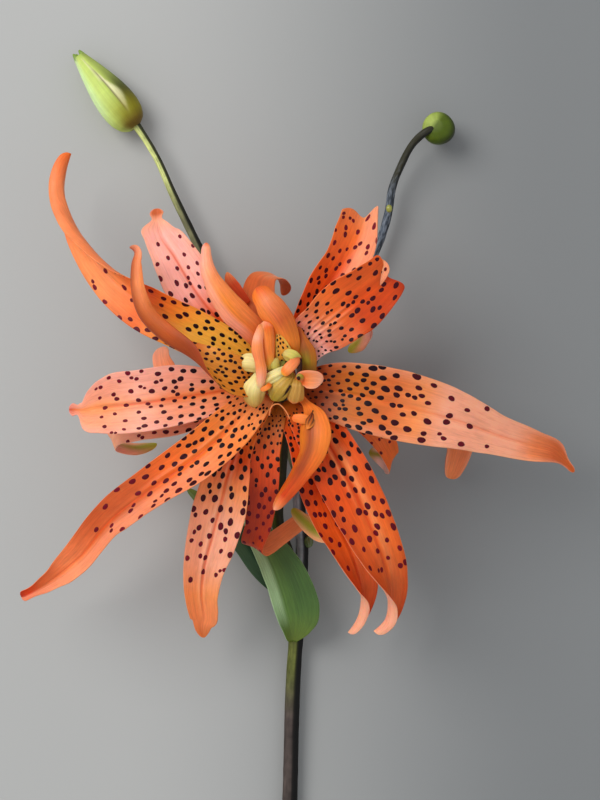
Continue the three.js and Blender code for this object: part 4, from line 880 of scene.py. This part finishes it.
class Build:
    """Collects vertices, faces, tints and surface places for one mesh."""

    def __init__(self):
        self.v = []
        self.f = []
        self.m = []
        self.tint = []
        self.petal = []
        self.count = 0

    def points(self, points, tint, petal):
        first = self.count
        points = np.asarray(points, float).reshape(-1, 3)
        self.v.append(points)
        self.tint.append(np.broadcast_to(tint, points.shape).reshape(-1, 3))
        self.petal.append(np.asarray(petal, float).reshape(-1, 3))
        self.count += len(points)
        return first

    def face(self, corners, material=0):
        self.f.append(corners)
        self.m.append(material)

    def band(self, starts, sides, material=0):
        """The side faces between rings of points."""
        for a, b in zip(starts, starts[1:]):
            for q in range(sides):
                p = (q + 1) % sides
                self.face((a + q, a + p, b + p, b + q), material)

    def tube(self, starts, sides, material=0):
        """A band with a cap at each end."""
        self.band(starts, sides, material)
        self.face(tuple(starts[0] + q for q in reversed(range(sides))), material)
        self.face(tuple(starts[-1] + q for q in range(sides)), material)

    def make(self, name, materials, nodes):
        v = np.concatenate(self.v)
        v = (v + np.array([SHIFT_X, SHIFT_Y, 0])) / 1000
        mesh = bpy.data.meshes.new(name)
        mesh.from_pydata(v.tolist(), [], self.f)
        for material in materials:
            mesh.materials.append(material)
        mesh.polygons.foreach_set("material_index", self.m)
        mesh.polygons.foreach_set("use_smooth", [True] * len(self.f))
        tint = np.concatenate(self.tint)
        tint = np.concatenate([tint, np.ones((len(tint), 1))], 1)
        mesh.attributes.new("tint", "FLOAT_COLOR", "POINT").data.foreach_set("color", tint.ravel())
        petal = np.concatenate(self.petal)
        mesh.attributes.new("petal", "FLOAT_VECTOR", "POINT").data.foreach_set("vector", petal.ravel())
        mesh.validate()
        mesh.update()
        piece = bpy.data.objects.new(name, mesh)
        bpy.context.scene.collection.objects.link(piece)
        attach(piece, "root")
        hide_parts(*nodes)
        return piece


def half_thickness(s, t, thickness, margin=MARGIN_THICKNESS):
    """Half of a blade's thickness, thin at its margins and tip."""
    return (margin + (thickness - margin) * (1 - s ** 4) * (1 - smooth(0.92, 1, t))) / 2


def add_sheet(build, blade, paint, thickness, margin, over, under):
    """Both sides of a blade, closed round its margin. Over and under are the slots of its sides."""
    rows, cols = blade.P.shape[:2]
    s = np.broadcast_to(blade.s[None], (rows, cols))
    t = np.broadcast_to(blade.t[:, None], (rows, cols))
    offset = blade.N * half_thickness(s, t, thickness, margin)[..., None]
    spot = np.stack([s * blade.width[:, None] / 2, t * blade.length, s], -1)
    a = build.points(blade.P + offset, face_tint(paint, blade, s, t).reshape(-1, 3), spot)
    b = build.points(blade.P - offset, back_tint(paint, blade, s, t).reshape(-1, 3), spot)
    for j in range(rows - 1):
        for i in range(cols - 1):
            k = j * cols + i
            build.face((a + k, a + k + 1, a + k + cols + 1, a + k + cols), over)
            build.face((b + k, b + k + cols, b + k + cols + 1, b + k + 1), under)
        left = j * cols
        right = left + cols - 1
        build.face((a + left, a + left + cols, b + left + cols, b + left), over)
        build.face((a + right, b + right, b + right + cols, a + right + cols), over)
    end = (rows - 1) * cols
    for i in range(cols - 1):
        build.face((a + i, b + i, b + i + 1, a + i + 1), over)
        build.face((a + end + i, a + end + i + 1, b + end + i + 1, b + end + i), over)


# Spots. A ring is a share of the radius and a height in mm, and a twin is a second spot grown into
# the first. Start and stop are shares of the length. Small, big and ends are sizes in mm at the foot,
# from the share grow of the way on, and at the far end, where the gap is in mm too. Space scales every
# gap, bare is the side that stays free out to BARE_REACH, and red is how red the furthest spots are.
# No spot's middle is nearer than SPOT_EDGE mm to the margin.
SPOT_TRIES = 3600
SPOT_SIDES = 14
SPOT_RINGS = ((1.0, -0.03), (0.86, 0.035), (0.5, 0.06))
SPOT_TOP = 0.07
SPOT_LONG = 1.38
SPOT_TWINS = 0.3
SPOT_STRETCH = 1.25
SPOT_CLEAR = 0.78
SPOT_EDGE = 0.2
BARE_REACH = 0.72
TWIN_REACH = 0.86


def strew_spots(blade, rng, start, stop, small=0.8, big=1.8, ends=1.5, gap=2.6, bare=0, space=1.0,
                grow=0.35):
    """Places of spots as mm across, mm along, half length and share of the way out."""
    kept = np.zeros((0, 4))

    def free(across, along, half, apart):
        wide = np.interp(along / blade.length, blade.t, blade.width) / 2
        if wide - abs(across) < SPOT_EDGE:
            return False
        away = np.hypot(across - kept[:, 0], (along - kept[:, 1]) / SPOT_STRETCH)
        return bool(np.all(away > (half + kept[:, 2]) * SPOT_CLEAR + apart))

    for _ in range(SPOT_TRIES):
        far, s, luck, loose = (rng.random() for _ in range(4))
        t = start + far * (stop - start)
        s = 2 * s - 1
        if s * bare > 0 and abs(s) < BARE_REACH:
            continue
        size = np.interp(far, (0, grow, 0.7, 1), (small, big, big * 0.95, ends))
        half = size * (0.78 + 0.34 * luck) / 2
        apart = np.interp(far, (0, 0.25, 0.6, 1), (0.4, 0.8, 1.2, gap)) * (0.6 + 0.8 * loose) * space
        across = s * np.interp(t, blade.t, blade.width) / 2
        along = t * blade.length
        if not free(across, along, half, apart):
            continue
        kept = np.vstack([kept, [across, along, half, far]])
        if rng.random() < SPOT_TWINS:
            twin = half * rng.uniform(0.75, 1)
            turn = rng.uniform(0, 2 * math.pi)
            reach = (half + twin) * TWIN_REACH
            beside = (across + reach * math.cos(turn), along + reach * SPOT_STRETCH * math.sin(turn))
            if free(*beside, twin, 0):
                kept = np.vstack([kept, [*beside, twin, far]])
    return kept


def add_spots(build, blade, seed, thickness, rule):
    """Raised dark spots on the upper side: small and dense at the foot, large further out, then few."""
    rng = random.Random(seed)
    angle = round_angles(SPOT_SIDES)
    strewing = {key: value for key, value in rule.items() if key != "red"}
    for across, along, half, far in strew_spots(blade, rng, **strewing):
        t = along / blade.length
        wide = np.interp(t, blade.t, blade.width) / 2
        red = rule.get("red", 1) * smooth(0.3, 0.9, far) * rng.uniform(0.6, 1)
        tint = blend(SPOT, SPOT_RED, red)
        lumps = 1 + 0.05 * np.sin(2 * angle + rng.uniform(0, 6))
        lumps = lumps + 0.04 * np.sin(3 * angle + rng.uniform(0, 6))
        lean = rng.uniform(-0.2, 0.2)
        starts = []
        for radius, height in SPOT_RINGS:
            u = np.cos(angle) * half / SPOT_LONG * radius * lumps
            v = np.sin(angle) * half * radius * lumps
            tt = t + (v - lean * u) / blade.length
            ss = np.clip((across + u + lean * v) / wide, -1, 1)
            P, N = blade.at(tt, ss)
            shade = tint * (1 + 0.5 * (1 - radius) * red)
            skin = np.tile([across, along, across / wide], (SPOT_SIDES, 1))
            lift = half_thickness(ss, tt, thickness) + height
            starts.append(build.points(P + N * lift[:, None], shade, skin))
        P, N = blade.at(np.array([t]), np.array([across / wide]))
        lift = half_thickness(across / wide, t, thickness) + SPOT_TOP
        centre = build.points(P + N * lift, tint, [[across, along, across / wide]])
        build.band(starts, SPOT_SIDES, SPOTTED)
        for q in range(SPOT_SIDES):
            build.face((starts[-1] + q, starts[-1] + (q + 1) % SPOT_SIDES, centre), SPOTTED)


def add_blade(build, blade, spec, thickness, spot_seed, margin=MARGIN_THICKNESS, slots=(OVER, UNDER)):
    """A blade's sheet in its paint, and its spots where it has them."""
    add_sheet(build, blade, PAINTS[spec["paint"]], thickness, margin, *slots)
    if "spots" in spec:
        add_spots(build, blade, spot_seed, thickness, spec["spots"])


def ring_about(centre, n, other, r, angle):
    """A ring of points about a centre, kept above the table."""
    ring = centre + np.outer(np.cos(angle) * r, n) + np.outer(np.sin(angle) * r, other)
    ring[:, 2] = np.maximum(ring[:, 2], 0.0)
    return ring


def skin_ring(angle, along, reach=2):
    """Where a ring lies on the skin, for the veins and the mottle of its material."""
    return np.stack([np.cos(angle) * reach, np.full(len(angle), along), np.sin(angle) * reach], 1)


def round_angles(sides):
    return 2 * math.pi * np.arange(sides) / sides


# How far a stalk's radius strays in mm, and the share of it by which its five ribs stand out
STALK_BUMPS = 0.06
STALK_RIBS = 0.025


def add_stalk(build, rows, tint_of, sides, steps, seed, material=0):
    """A closed stalk along a smooth line, its radius changing along it, a little uneven."""
    points = np.array([place(r[0], r[1], r[2]) for r in rows])
    knots = np.concatenate([[0], np.cumsum(np.linalg.norm(np.diff(points, axis=0), axis=1))])
    full = np.concatenate([points, np.array([[r[3]] for r in rows])], 1)
    line = hermite(full, knots, np.linspace(0, knots[-1], steps + 1))
    T = unit(np.gradient(line[:, :3], axis=0))
    swell = soft_noise(random.Random(seed), steps + 1, 3)
    angle = round_angles(sides)
    starts = []
    for j, n in enumerate(carried_along(UP, T)):
        r = (line[j, 3] + STALK_BUMPS * swell[j]) * (1 + STALK_RIBS * np.cos(5 * angle))
        ring = ring_about(line[j, :3], n, np.cross(T[j], n), r, angle)
        share = j / steps
        tint = tint_of(share, np.sin(angle))
        starts.append(build.points(ring, tint, skin_ring(angle, share * knots[-1])))
    build.tube(starts, sides, material)


# Materials. The waxy bloom on some stalks is a pale blue grey.
WAX = srgb(150, 158, 172)


def new_material(name):
    material = bpy.data.materials.new(name)
    material.use_nodes = True
    tree = material.node_tree
    return material, tree, tree.nodes["Principled BSDF"]


def node(tree, kind, inputs=(), **settings):
    made = tree.nodes.new(kind)
    for key, value in settings.items():
        setattr(made, key, value)
    for key, value in dict(inputs).items():
        if isinstance(value, bpy.types.NodeSocket):
            tree.links.new(value, made.inputs[key])
        else:
            made.inputs[key].default_value = value
    return made


def attribute(tree, name):
    return node(tree, "ShaderNodeAttribute", attribute_name=name)


def scaled(tree, vector, scale):
    return node(tree, "ShaderNodeVectorMath", {0: vector, 1: scale}, operation="MULTIPLY").outputs[0]


def noise(tree, vector, detail, rough=0.5):
    inputs = {"Vector": vector, "Scale": 1.0, "Detail": detail, "Roughness": rough}
    return node(tree, "ShaderNodeTexNoise", inputs).outputs["Fac"]


def ramp(tree, value, low, high, to_low, to_high):
    inputs = {"Value": value, "From Min": low, "From Max": high, "To Min": to_low, "To Max": to_high}
    return node(tree, "ShaderNodeMapRange", inputs).outputs["Result"]


def times(tree, a, b):
    return node(tree, "ShaderNodeMath", {0: a, 1: b}, operation="MULTIPLY").outputs[0]


def tissue(name, rough=0.46, shine=0.28, scatter=0.35, radius=(1.0, 0.3, 0.1), vein=0.14, vein_count=9.0,
           bump=0.3, coat=0.0, speckle=0.06, cloud=0.07, wax=0.0):
    """Plant skin: the mesh's own tint, streaked along its veins and mottled, with fine relief."""
    material, tree, shader = new_material(name)
    tint = attribute(tree, "tint").outputs["Color"]
    where = attribute(tree, "petal").outputs["Vector"]
    veins = noise(tree, scaled(tree, where, (0.0, 0.05, vein_count)), 4.0, 0.65)
    fine = noise(tree, scaled(tree, where, (2.2, 0.35, 0.0)), 3.0, 0.6)
    mottle = noise(tree, scaled(tree, where, (0.22, 0.16, 0.0)), 2.0)
    gain = times(tree, ramp(tree, veins, 0.3, 0.7, 1 - vein, 1 + vein),
                 ramp(tree, fine, 0.3, 0.7, 1 - speckle, 1 + speckle))
    gain = times(tree, gain, ramp(tree, mottle, 0.3, 0.7, 1 - cloud, 1 + cloud))
    colour = node(tree, "ShaderNodeVectorMath", {0: tint, "Scale": gain}, operation="SCALE").outputs[0]
    if wax:
        patches = noise(tree, scaled(tree, where, (1.0, 0.4, 1.0)), 1.6, 0.6)
        along = node(tree, "ShaderNodeSeparateXYZ", {0: where}).outputs["Y"]
        share = times(tree, ramp(tree, patches, 0.42, 0.68, 0.0, wax), ramp(tree, along, 88, 102, 1.0, 0.05))
        mix = node(tree, "ShaderNodeMix", {"Factor": share}, data_type="RGBA")
        tree.links.new(colour, mix.inputs[6])
        mix.inputs[7].default_value = (*WAX, 1)
        colour = mix.outputs[2]
    tree.links.new(colour, shader.inputs["Base Color"])
    tree.links.new(ramp(tree, fine, 0.2, 0.8, rough - 0.07, rough + 0.09), shader.inputs["Roughness"])
    height = node(tree, "ShaderNodeMath", {0: veins, 1: fine}, operation="ADD").outputs[0]
    relief = node(tree, "ShaderNodeBump", {"Height": height, "Strength": bump, "Distance": 0.00025})
    tree.links.new(relief.outputs["Normal"], shader.inputs["Normal"])
    shader.inputs["Specular IOR Level"].default_value = shine
    shader.inputs["Subsurface Weight"].default_value = scatter
    shader.inputs["Subsurface Radius"].default_value = radius
    shader.inputs["Subsurface Scale"].default_value = 0.0015
    shader.inputs["Coat Weight"].default_value = coat
    shader.inputs["Coat Roughness"].default_value = 0.25
    return material


petal_face = tissue("petal_face")
petal_back = tissue("petal_back", vein=0.1)
spot_skin = tissue("spot_skin", rough=0.5, shine=0.15, scatter=0.0, vein=0.05, vein_count=2.0, bump=0.1)
heart_skin = tissue("heart_skin", rough=0.4, scatter=0.4, radius=(1.0, 0.7, 0.25), vein=0.12)
leaf_skin = tissue("leaf_skin", rough=0.42, shine=0.4, scatter=0.08, radius=(0.4, 0.8, 0.2), vein=0.2,
                   vein_count=16.0, bump=0.5)
bud_skin = tissue("bud_skin", rough=0.5, scatter=0.15, radius=(0.6, 0.9, 0.3), vein=0.08, vein_count=3.0)
stem_skin = tissue("stem_skin", rough=0.55, shine=0.2, scatter=0.0, vein=0.3, vein_count=1.2, bump=0.5,
                   speckle=0.3, cloud=0.25)
waxy_skin = tissue("waxy_skin", rough=0.55, shine=0.3, scatter=0.0, vein=0.3, vein_count=1.2, bump=0.5,
                   speckle=0.1, cloud=0.2, wax=0.5)
bulbil_skin = tissue("bulbil_skin", rough=0.25, shine=0.5, scatter=0.1, vein_count=1.0, coat=0.4)

# Petals and leaves. The ruffle is how far a margin strays, in mm.
RUFFLE = 0.3
CALM_RUFFLE = 0.15
LOBE_RUFFLE = 0.05
HEART_RUFFLE = 0.1
CALM_BLADES = ("petaloid_spoon", "petaloid_olive", "leaf_front", "leaf_back")
for number, (name, spec) in enumerate(BLADES.items()):
    leafy = name.startswith("leaf")
    blade = Blade(spec, BLADE_SEED + number, ruffle=CALM_RUFFLE if name in CALM_BLADES else RUFFLE)
    build = Build()
    add_blade(build, blade, spec, LEAF_THICKNESS if leafy else PETAL_THICKNESS, SPOT_SEED + number)
    for order, lobe in enumerate(LOBES.get(name, [])):
        blade = Blade(lobe, LOBE_SEED + order, stations=40, half=12, ruffle=LOBE_RUFFLE)
        add_blade(build, blade, lobe, PETAL_THICKNESS, LOBE_SPOT_SEED + order)
    if leafy:
        build.make(name + "_blade", [leaf_skin, leaf_skin], nodes=(name,))
    else:
        build.make("bloom_" + name, [petal_face, petal_back, spot_skin], nodes=(name,))

# The heart. Its clefts are thin dark sheets of painted shade in its crevices, with the dull skin of the
# spots.
build = Build()
for number, spec in enumerate(HEART):
    blade = Blade(spec, HEART_SEED + number, stations=40, half=10, ruffle=HEART_RUFFLE)
    thick = spec.get("thick", HEART_THICKNESS)
    slots = (SPOTTED, SPOTTED) if spec["paint"] == "crevice_shade" else (OVER, UNDER)
    add_blade(build, blade, spec, thick, HEART_SPOT_SEED + number, min(HEART_MARGIN, thick), slots)
build.make("heart_petaloids", [heart_skin, heart_skin, spot_skin], nodes=("heart",))


# Stem and stalks. In a tint, share is how far along the stalk a ring is, and side is 1 on its right. Each
# right side is darkened with painted shade.
def stem_tint(share, side):
    olive = smooth(0.5, 0.62, share) * (1 - smooth(0.68, 0.74, share))
    # near the leaf the stem is painted pale grey: its waxy bloom with a painted highlight
    lit = blend(blend(STEM_BROWN, STALK_WAX_AND_HIGHLIGHT, smooth(0.72, 0.78, share)), STEM_OLIVE, 0.7 * olive)
    # painted shade on the right side
    return blend(lit, STEM_PAINTED_SHADE, smooth(-0.05, 0.35, side))


def bloom_tint(share, side):
    # the left side is lightened towards olive as painted light
    return blend(STALK_DARK, STEM_OLIVE, 0.6 * smooth(0.2, -0.6, side))


def left_tint(share, side):
    lit = blend(STALK_GREY, STALK_GREEN, smooth(0.7, 0.9, share))
    # painted shade on the right side
    return blend(lit, STEM_PAINTED_SHADE, 0.95 * smooth(-0.1, 0.4, side))


def right_tint(share, side):
    lit = blend(STALK_BLUE, STALK_DARK, smooth(0.74, 0.86, share))
    # painted shade on the right side
    return blend(lit, STEM_PAINTED_SHADE, 0.75 * smooth(0, 0.6, side))


build = Build()
add_stalk(build, MAIN_STEM, stem_tint, sides=24, steps=160, seed=11)
add_stalk(build, BLOOM_STALK, bloom_tint, sides=20, steps=70, seed=12)
add_stalk(build, LEFT_STALK, left_tint, sides=18, steps=110, seed=13)
add_stalk(build, RIGHT_STALK, right_tint, sides=18, steps=120, seed=14, material=1)

# The flower base that the bloom's stalk ends in, as radii and heights, with its six shallow furrows
BASE_PLACE = place(-1, 0, 36)
BASE_PROFILE = [(0.05, 27.1), (2.6, 27.1), (4.3, 29.5), (5.5, 32), (5.5, 40.4), (4.3, 42), (0.05, 42.5)]
BASE_SIDES = 24
BASE_FURROW = 0.05
angle = round_angles(BASE_SIDES)
starts = []
for radius, z in BASE_PROFILE:
    reach = radius * (1 - BASE_FURROW * (1 + np.cos(6 * angle)))
    x = BASE_PLACE[0] + reach * np.cos(angle)
    y = BASE_PLACE[1] + reach * np.sin(angle)
    tint = blend(PALE_GREEN, RED_BROWN, smooth(30, 40, z))
    starts.append(build.points(np.stack([x, y, np.full(BASE_SIDES, z)], 1), tint, skin_ring(angle, z)))
build.tube(starts, BASE_SIDES)
build.make("stem_and_stalks", [stem_skin, waxy_skin], nodes=("stem",))


# Buds
def axes_of(T):
    """The directions up and right of one that points along T."""
    top = unit(UP - UP.dot(T) * T)
    return top, np.cross(T, top)


def add_bud(build, foot, tip, radius, profile, relief, tint_of, sides=72, steps=70):
    """A round form between two points, its profile as shares of the length and of the radius."""
    T = unit(tip - foot)
    length = np.linalg.norm(tip - foot)
    top, right = axes_of(T)
    angle = round_angles(sides)
    shares = np.linspace(0, profile[-1][0], steps + 1)
    knots, values = np.array(profile, float).T
    fat = hermite(values[:, None], knots, shares)[:, 0]
    starts = []
    for share, full in zip(shares, fat):
        r = radius * full * relief(share, angle)
        ring = ring_about(foot + T * share * length, top, right, r, angle)
        starts.append(build.points(ring, tint_of(share, angle), skin_ring(angle, share * length, 3)))
    build.tube(starts, sides)


BUD_PROFILE = [
    (0, 0.34), (0.03, 0.6), (0.1, 0.85), (0.2, 0.98), (0.32, 1), (0.45, 0.93), (0.58, 0.8),
    (0.72, 0.63), (0.85, 0.45), (0.94, 0.32),
]
SMALL_PROFILE = [
    (0, 0.38), (0.05, 0.7), (0.16, 0.94), (0.3, 1), (0.5, 0.94), (0.7, 0.74), (0.87, 0.45), (1, 0.16),
]
TIP_CONE = [(0, 1), (0.5, 0.82), (0.85, 0.5), (1, 0.22)]
BUD_GREEN = srgb(192, 210, 104)
# Pale green: painted light on the large bud's left, and the pale foot of its free tips
BUD_PALE_PAINTED_LIGHT = srgb(210, 236, 168)
# Dark olive: painted shade on the large bud's right
BUD_PAINTED_SHADE = srgb(48, 46, 2)
BUD_BASE = srgb(136, 126, 4)
BUD_FOOT = srgb(110, 84, 16)
BUD_CREAM = srgb(226, 222, 170)
BUD_LINE = srgb(86, 58, 48)
BUD_TIP = srgb(120, 146, 56)
SMALL_GREEN = srgb(74, 92, 2)
# Pale green: painted light on the small bud's left
SMALL_PAINTED_LIGHT = srgb(156, 172, 80)
# Dark olive: painted shade on the small bud's right
SMALL_PAINTED_SHADE = srgb(34, 38, 14)
SMALL_FURROW = srgb(64, 72, 16)
BUD_FOOT_PLACE = place(-41.2, 70.7, 6.1)
BUD_END_PLACE = place(-57.9, 91.8, 5.6)
BUD_RADIUS = 5.8
BUD_TIP_RADIUS = 1.3
# Where a free tip starts and ends, as shares of the bud's length, and how far out in mm
BUD_TIP_START = (0.78, 1.3)
BUD_TIP_STOP = (0.988, 1.25)
SMALL_PLACE = place(43.4, 71.2, 12.8)
SMALL_LENGTH = 13.2
SMALL_RADIUS = 4.8
# The way that the small bud nods
SMALL_LEAN = unit(np.array([0.2, -0.05, -0.98]))
# The seam between two tepals of the bud faces up and to the right
SEAM_ANGLE = math.radians(14)


def seam_distance(angle):
    """How far an angle is from the nearest of the three seams, in seam spacings, right of it a plus."""
    return ((angle - SEAM_ANGLE) * 3 / (2 * math.pi) + 0.5) % 1 - 0.5


def bud_relief(share, angle):
    cut = np.exp(-((seam_distance(angle) / 0.03) ** 2)) * smooth(0.05, 0.2, share)
    return (1 - 0.06 * np.cos(2 * math.pi * seam_distance(angle))) * (1 - 0.07 * cut)


def bud_tint(share, angle):
    """Pale painted light on the left, olive at the foot, dark olive painted shade on the right, with a cream
    band and a mauve line at each seam.
    """
    across = np.sin(angle)
    # painted light on the left
    tint = blend(BUD_GREEN, BUD_PALE_PAINTED_LIGHT, smooth(-0.3, -0.9, across) * smooth(0.05, 0.4, share))
    shaded = 0.4 + 0.6 * smooth(0.75, 0.35, share)
    # painted shade on the right
    tint = blend(tint, BUD_PAINTED_SHADE, 0.95 * smooth(0.2, 0.75, across) * shaded)
    off = seam_distance(angle)
    reach = smooth(0.1, 0.22, share) * (1 - smooth(0.64, 0.82, share))
    wide = 0.02 + 0.08 * np.exp(-(((share - 0.36) / 0.17) ** 2))
    tint = blend(tint, BUD_CREAM, 0.95 * reach * np.exp(-(((off - wide) / wide) ** 4)))
    tint = blend(tint, BUD_LINE, 0.85 * reach * np.exp(-((off / 0.02) ** 2)))
    pale = smooth(0.5, 0.62, share) * (1 - smooth(0.84, 0.94, share))
    tint = blend(tint, BUD_CREAM, 0.7 * pale * np.exp(-(((off + 0.05) / 0.045) ** 2)))
    tint = blend(tint, BUD_BASE, 0.9 * smooth(0.46, 0.1, share) * smooth(-1, 0.05, across))
    tint = blend(tint, BUD_FOOT, 0.95 * smooth(0.16, 0.02, share) * smooth(-1.1, -0.2, across))
    return blend(tint, BUD_TIP, 0.6 * smooth(0.86, 0.98, share))


def small_relief(share, angle):
    bulge = 0.07 * smooth(0.2, 1, np.cos(angle - math.pi + 0.55)) * smooth(0.32, 0.08, share)
    return 1 + 0.02 * np.cos(3 * angle) + bulge


def small_tint(share, angle):
    """Pale green painted light on the left, dark olive painted shade on the right, darker in its six
    furrows.
    """
    # painted light on the left
    lit = smooth(0.1, 1, -np.cos(angle - 0.5)) * smooth(0.42, 0.06, share)
    tint = blend(SMALL_GREEN, SMALL_PAINTED_LIGHT, lit)
    # painted shade on the right
    tint = blend(tint, SMALL_PAINTED_SHADE, 0.9 * smooth(-0.1, 0.9, np.cos(angle)) * smooth(0.02, 0.3, share))
    return blend(tint, SMALL_FURROW, 0.12 * smooth(0.4, 1, np.cos(6 * angle)))


def tip_relief(share, angle):
    return 1


def tip_tint(share, angle):
    return blend(BUD_PALE_PAINTED_LIGHT, BUD_TIP, smooth(0.3, 0.9, share))


build = Build()
add_bud(build, BUD_FOOT_PLACE, BUD_END_PLACE, BUD_RADIUS, BUD_PROFILE, bud_relief, bud_tint)
# The free tips of its three outer tepals
T = unit(BUD_END_PLACE - BUD_FOOT_PLACE)
bud_length = np.linalg.norm(BUD_END_PLACE - BUD_FOOT_PLACE)
top, right = axes_of(T)
for k in range(3):
    angle = 2 * math.pi * k / 3 + SEAM_ANGLE + math.pi / 3
    out = top * math.cos(angle) + right * math.sin(angle)
    start, stop = (BUD_FOOT_PLACE + T * bud_length * share + out * reach
                   for share, reach in (BUD_TIP_START, BUD_TIP_STOP))
    add_bud(build, start, stop, BUD_TIP_RADIUS, TIP_CONE, tip_relief, tip_tint, sides=20, steps=16)
build.make("bud_large_skin", [bud_skin], nodes=("bud_large",))

build = Build()
small_end = SMALL_PLACE + SMALL_LEAN * SMALL_LENGTH
add_bud(build, SMALL_PLACE, small_end, SMALL_RADIUS, SMALL_PROFILE, small_relief, small_tint)
build.make("bud_small_skin", [bud_skin], nodes=("bud_small",))


# Bulbils, a quarter longer than wide
BULBIL_STRETCH = 1.25
BULBILS = (
    ("bulbil_low", (7.4, -45.3, 6.4), 1.5, srgb(84, 96, 44)),
    ("bulbil_high", (30, 48, 7.9), 0.95, srgb(150, 150, 60)),
)


def add_ball(build, centre, radius, tint, sides=24, rings=16):
    angle = round_angles(sides)
    starts = []
    for j in range(rings + 1):
        polar = math.pi * max(0.02, min(0.98, j / rings))
        x = radius * math.sin(polar) * np.cos(angle)
        y = radius * BULBIL_STRETCH * math.sin(polar) * np.sin(angle)
        skin = np.stack([x, y, np.full(sides, -radius * math.cos(polar))], 1)
        starts.append(build.points(centre + skin, tint, skin))
    build.tube(starts, sides)


for name, spot, radius, tint in BULBILS:
    build = Build()
    add_ball(build, place(*spot), radius, tint)
    build.make(name + "_skin", [bulbil_skin], nodes=(name,))

# The floor, darker towards the right as painted shade. Its sizes and those of the light are in metres.
FLOOR_HALF = 1.5
FLOOR_Z = -0.0002
FLOOR_FADE = (-0.06, 0.08)
FLOOR_LEFT = (0.425, 0.425, 0.415, 1)
# the darker grey at the right, painted shade
FLOOR_PAINTED_SHADE = (0.205, 0.212, 0.215, 1)
mesh = bpy.data.meshes.new("floor")
corners = [(-1, -1), (1, -1), (1, 1), (-1, 1)]
mesh.from_pydata([(x * FLOOR_HALF, y * FLOOR_HALF, FLOOR_Z) for x, y in corners], [], [(0, 1, 2, 3)])
floor = bpy.data.objects.new("floor", mesh)
bpy.context.scene.collection.objects.link(floor)
floor_paint, tree, shader = new_material("floor_paint")
where = node(tree, "ShaderNodeTexCoord").outputs["Object"]
east = node(tree, "ShaderNodeSeparateXYZ", {0: where}).outputs["X"]
fade = {"Value": east, "From Min": FLOOR_FADE[0], "From Max": FLOOR_FADE[1]}
share = node(tree, "ShaderNodeMapRange", fade, interpolation_type="SMOOTHSTEP").outputs["Result"]
mix = node(tree, "ShaderNodeMix", {"Factor": share}, data_type="RGBA")
mix.inputs[6].default_value = FLOOR_LEFT
mix.inputs[7].default_value = FLOOR_PAINTED_SHADE
tree.links.new(mix.outputs[2], shader.inputs["Base Color"])
shader.inputs["Roughness"].default_value = 0.85
mesh.materials.append(floor_paint)


# Light and camera. The camera stands at the eye, 0.04 mm to its right.
WINDOW_PLACE = (-0.58, 0.48, 0.82)
WINDOW_AIM = (0, 0.04, 0.02)
WINDOW_SIZE = 0.7
WINDOW_WATTS = 7.6
WINDOW_COLOUR = (1.0, 0.985, 0.96)
SKY_COLOUR = (0.94, 0.97, 1.0, 1)
SKY_STRENGTH = 0.66
CAMERA_LENS = 80.36
CAMERA_X = 5.04


def area_light(name, where, at, size, watts, colour):
    data = bpy.data.lights.new(name, "AREA")
    data.shape = "DISK"
    data.size = size
    data.energy = watts
    data.color = colour
    lamp = bpy.data.objects.new(name, data)
    lamp.location = where
    lamp.rotation_euler = (Vector(at) - Vector(where)).to_track_quat("-Z", "Y").to_euler()
    bpy.context.scene.collection.objects.link(lamp)


area_light("window", WINDOW_PLACE, WINDOW_AIM, WINDOW_SIZE, WINDOW_WATTS, WINDOW_COLOUR)
world = bpy.data.worlds.new("studio")
world.use_nodes = True
sky = world.node_tree.nodes["Background"]
sky.inputs["Color"].default_value = SKY_COLOUR
sky.inputs["Strength"].default_value = SKY_STRENGTH
bpy.context.scene.world = world
bpy.context.scene.view_settings.view_transform = "Standard"

camera_data = bpy.data.cameras.new("camera")
camera_data.lens = CAMERA_LENS
camera_data.sensor_width = 36
camera_data.clip_start = 0.01
camera = bpy.data.objects.new("camera", camera_data)
camera.location = ((CAMERA_X + SHIFT_X) / 1000, (EYE_Y + SHIFT_Y) / 1000, EYE_Z / 1000)
bpy.context.scene.collection.objects.link(camera)
bpy.context.scene.camera = camera
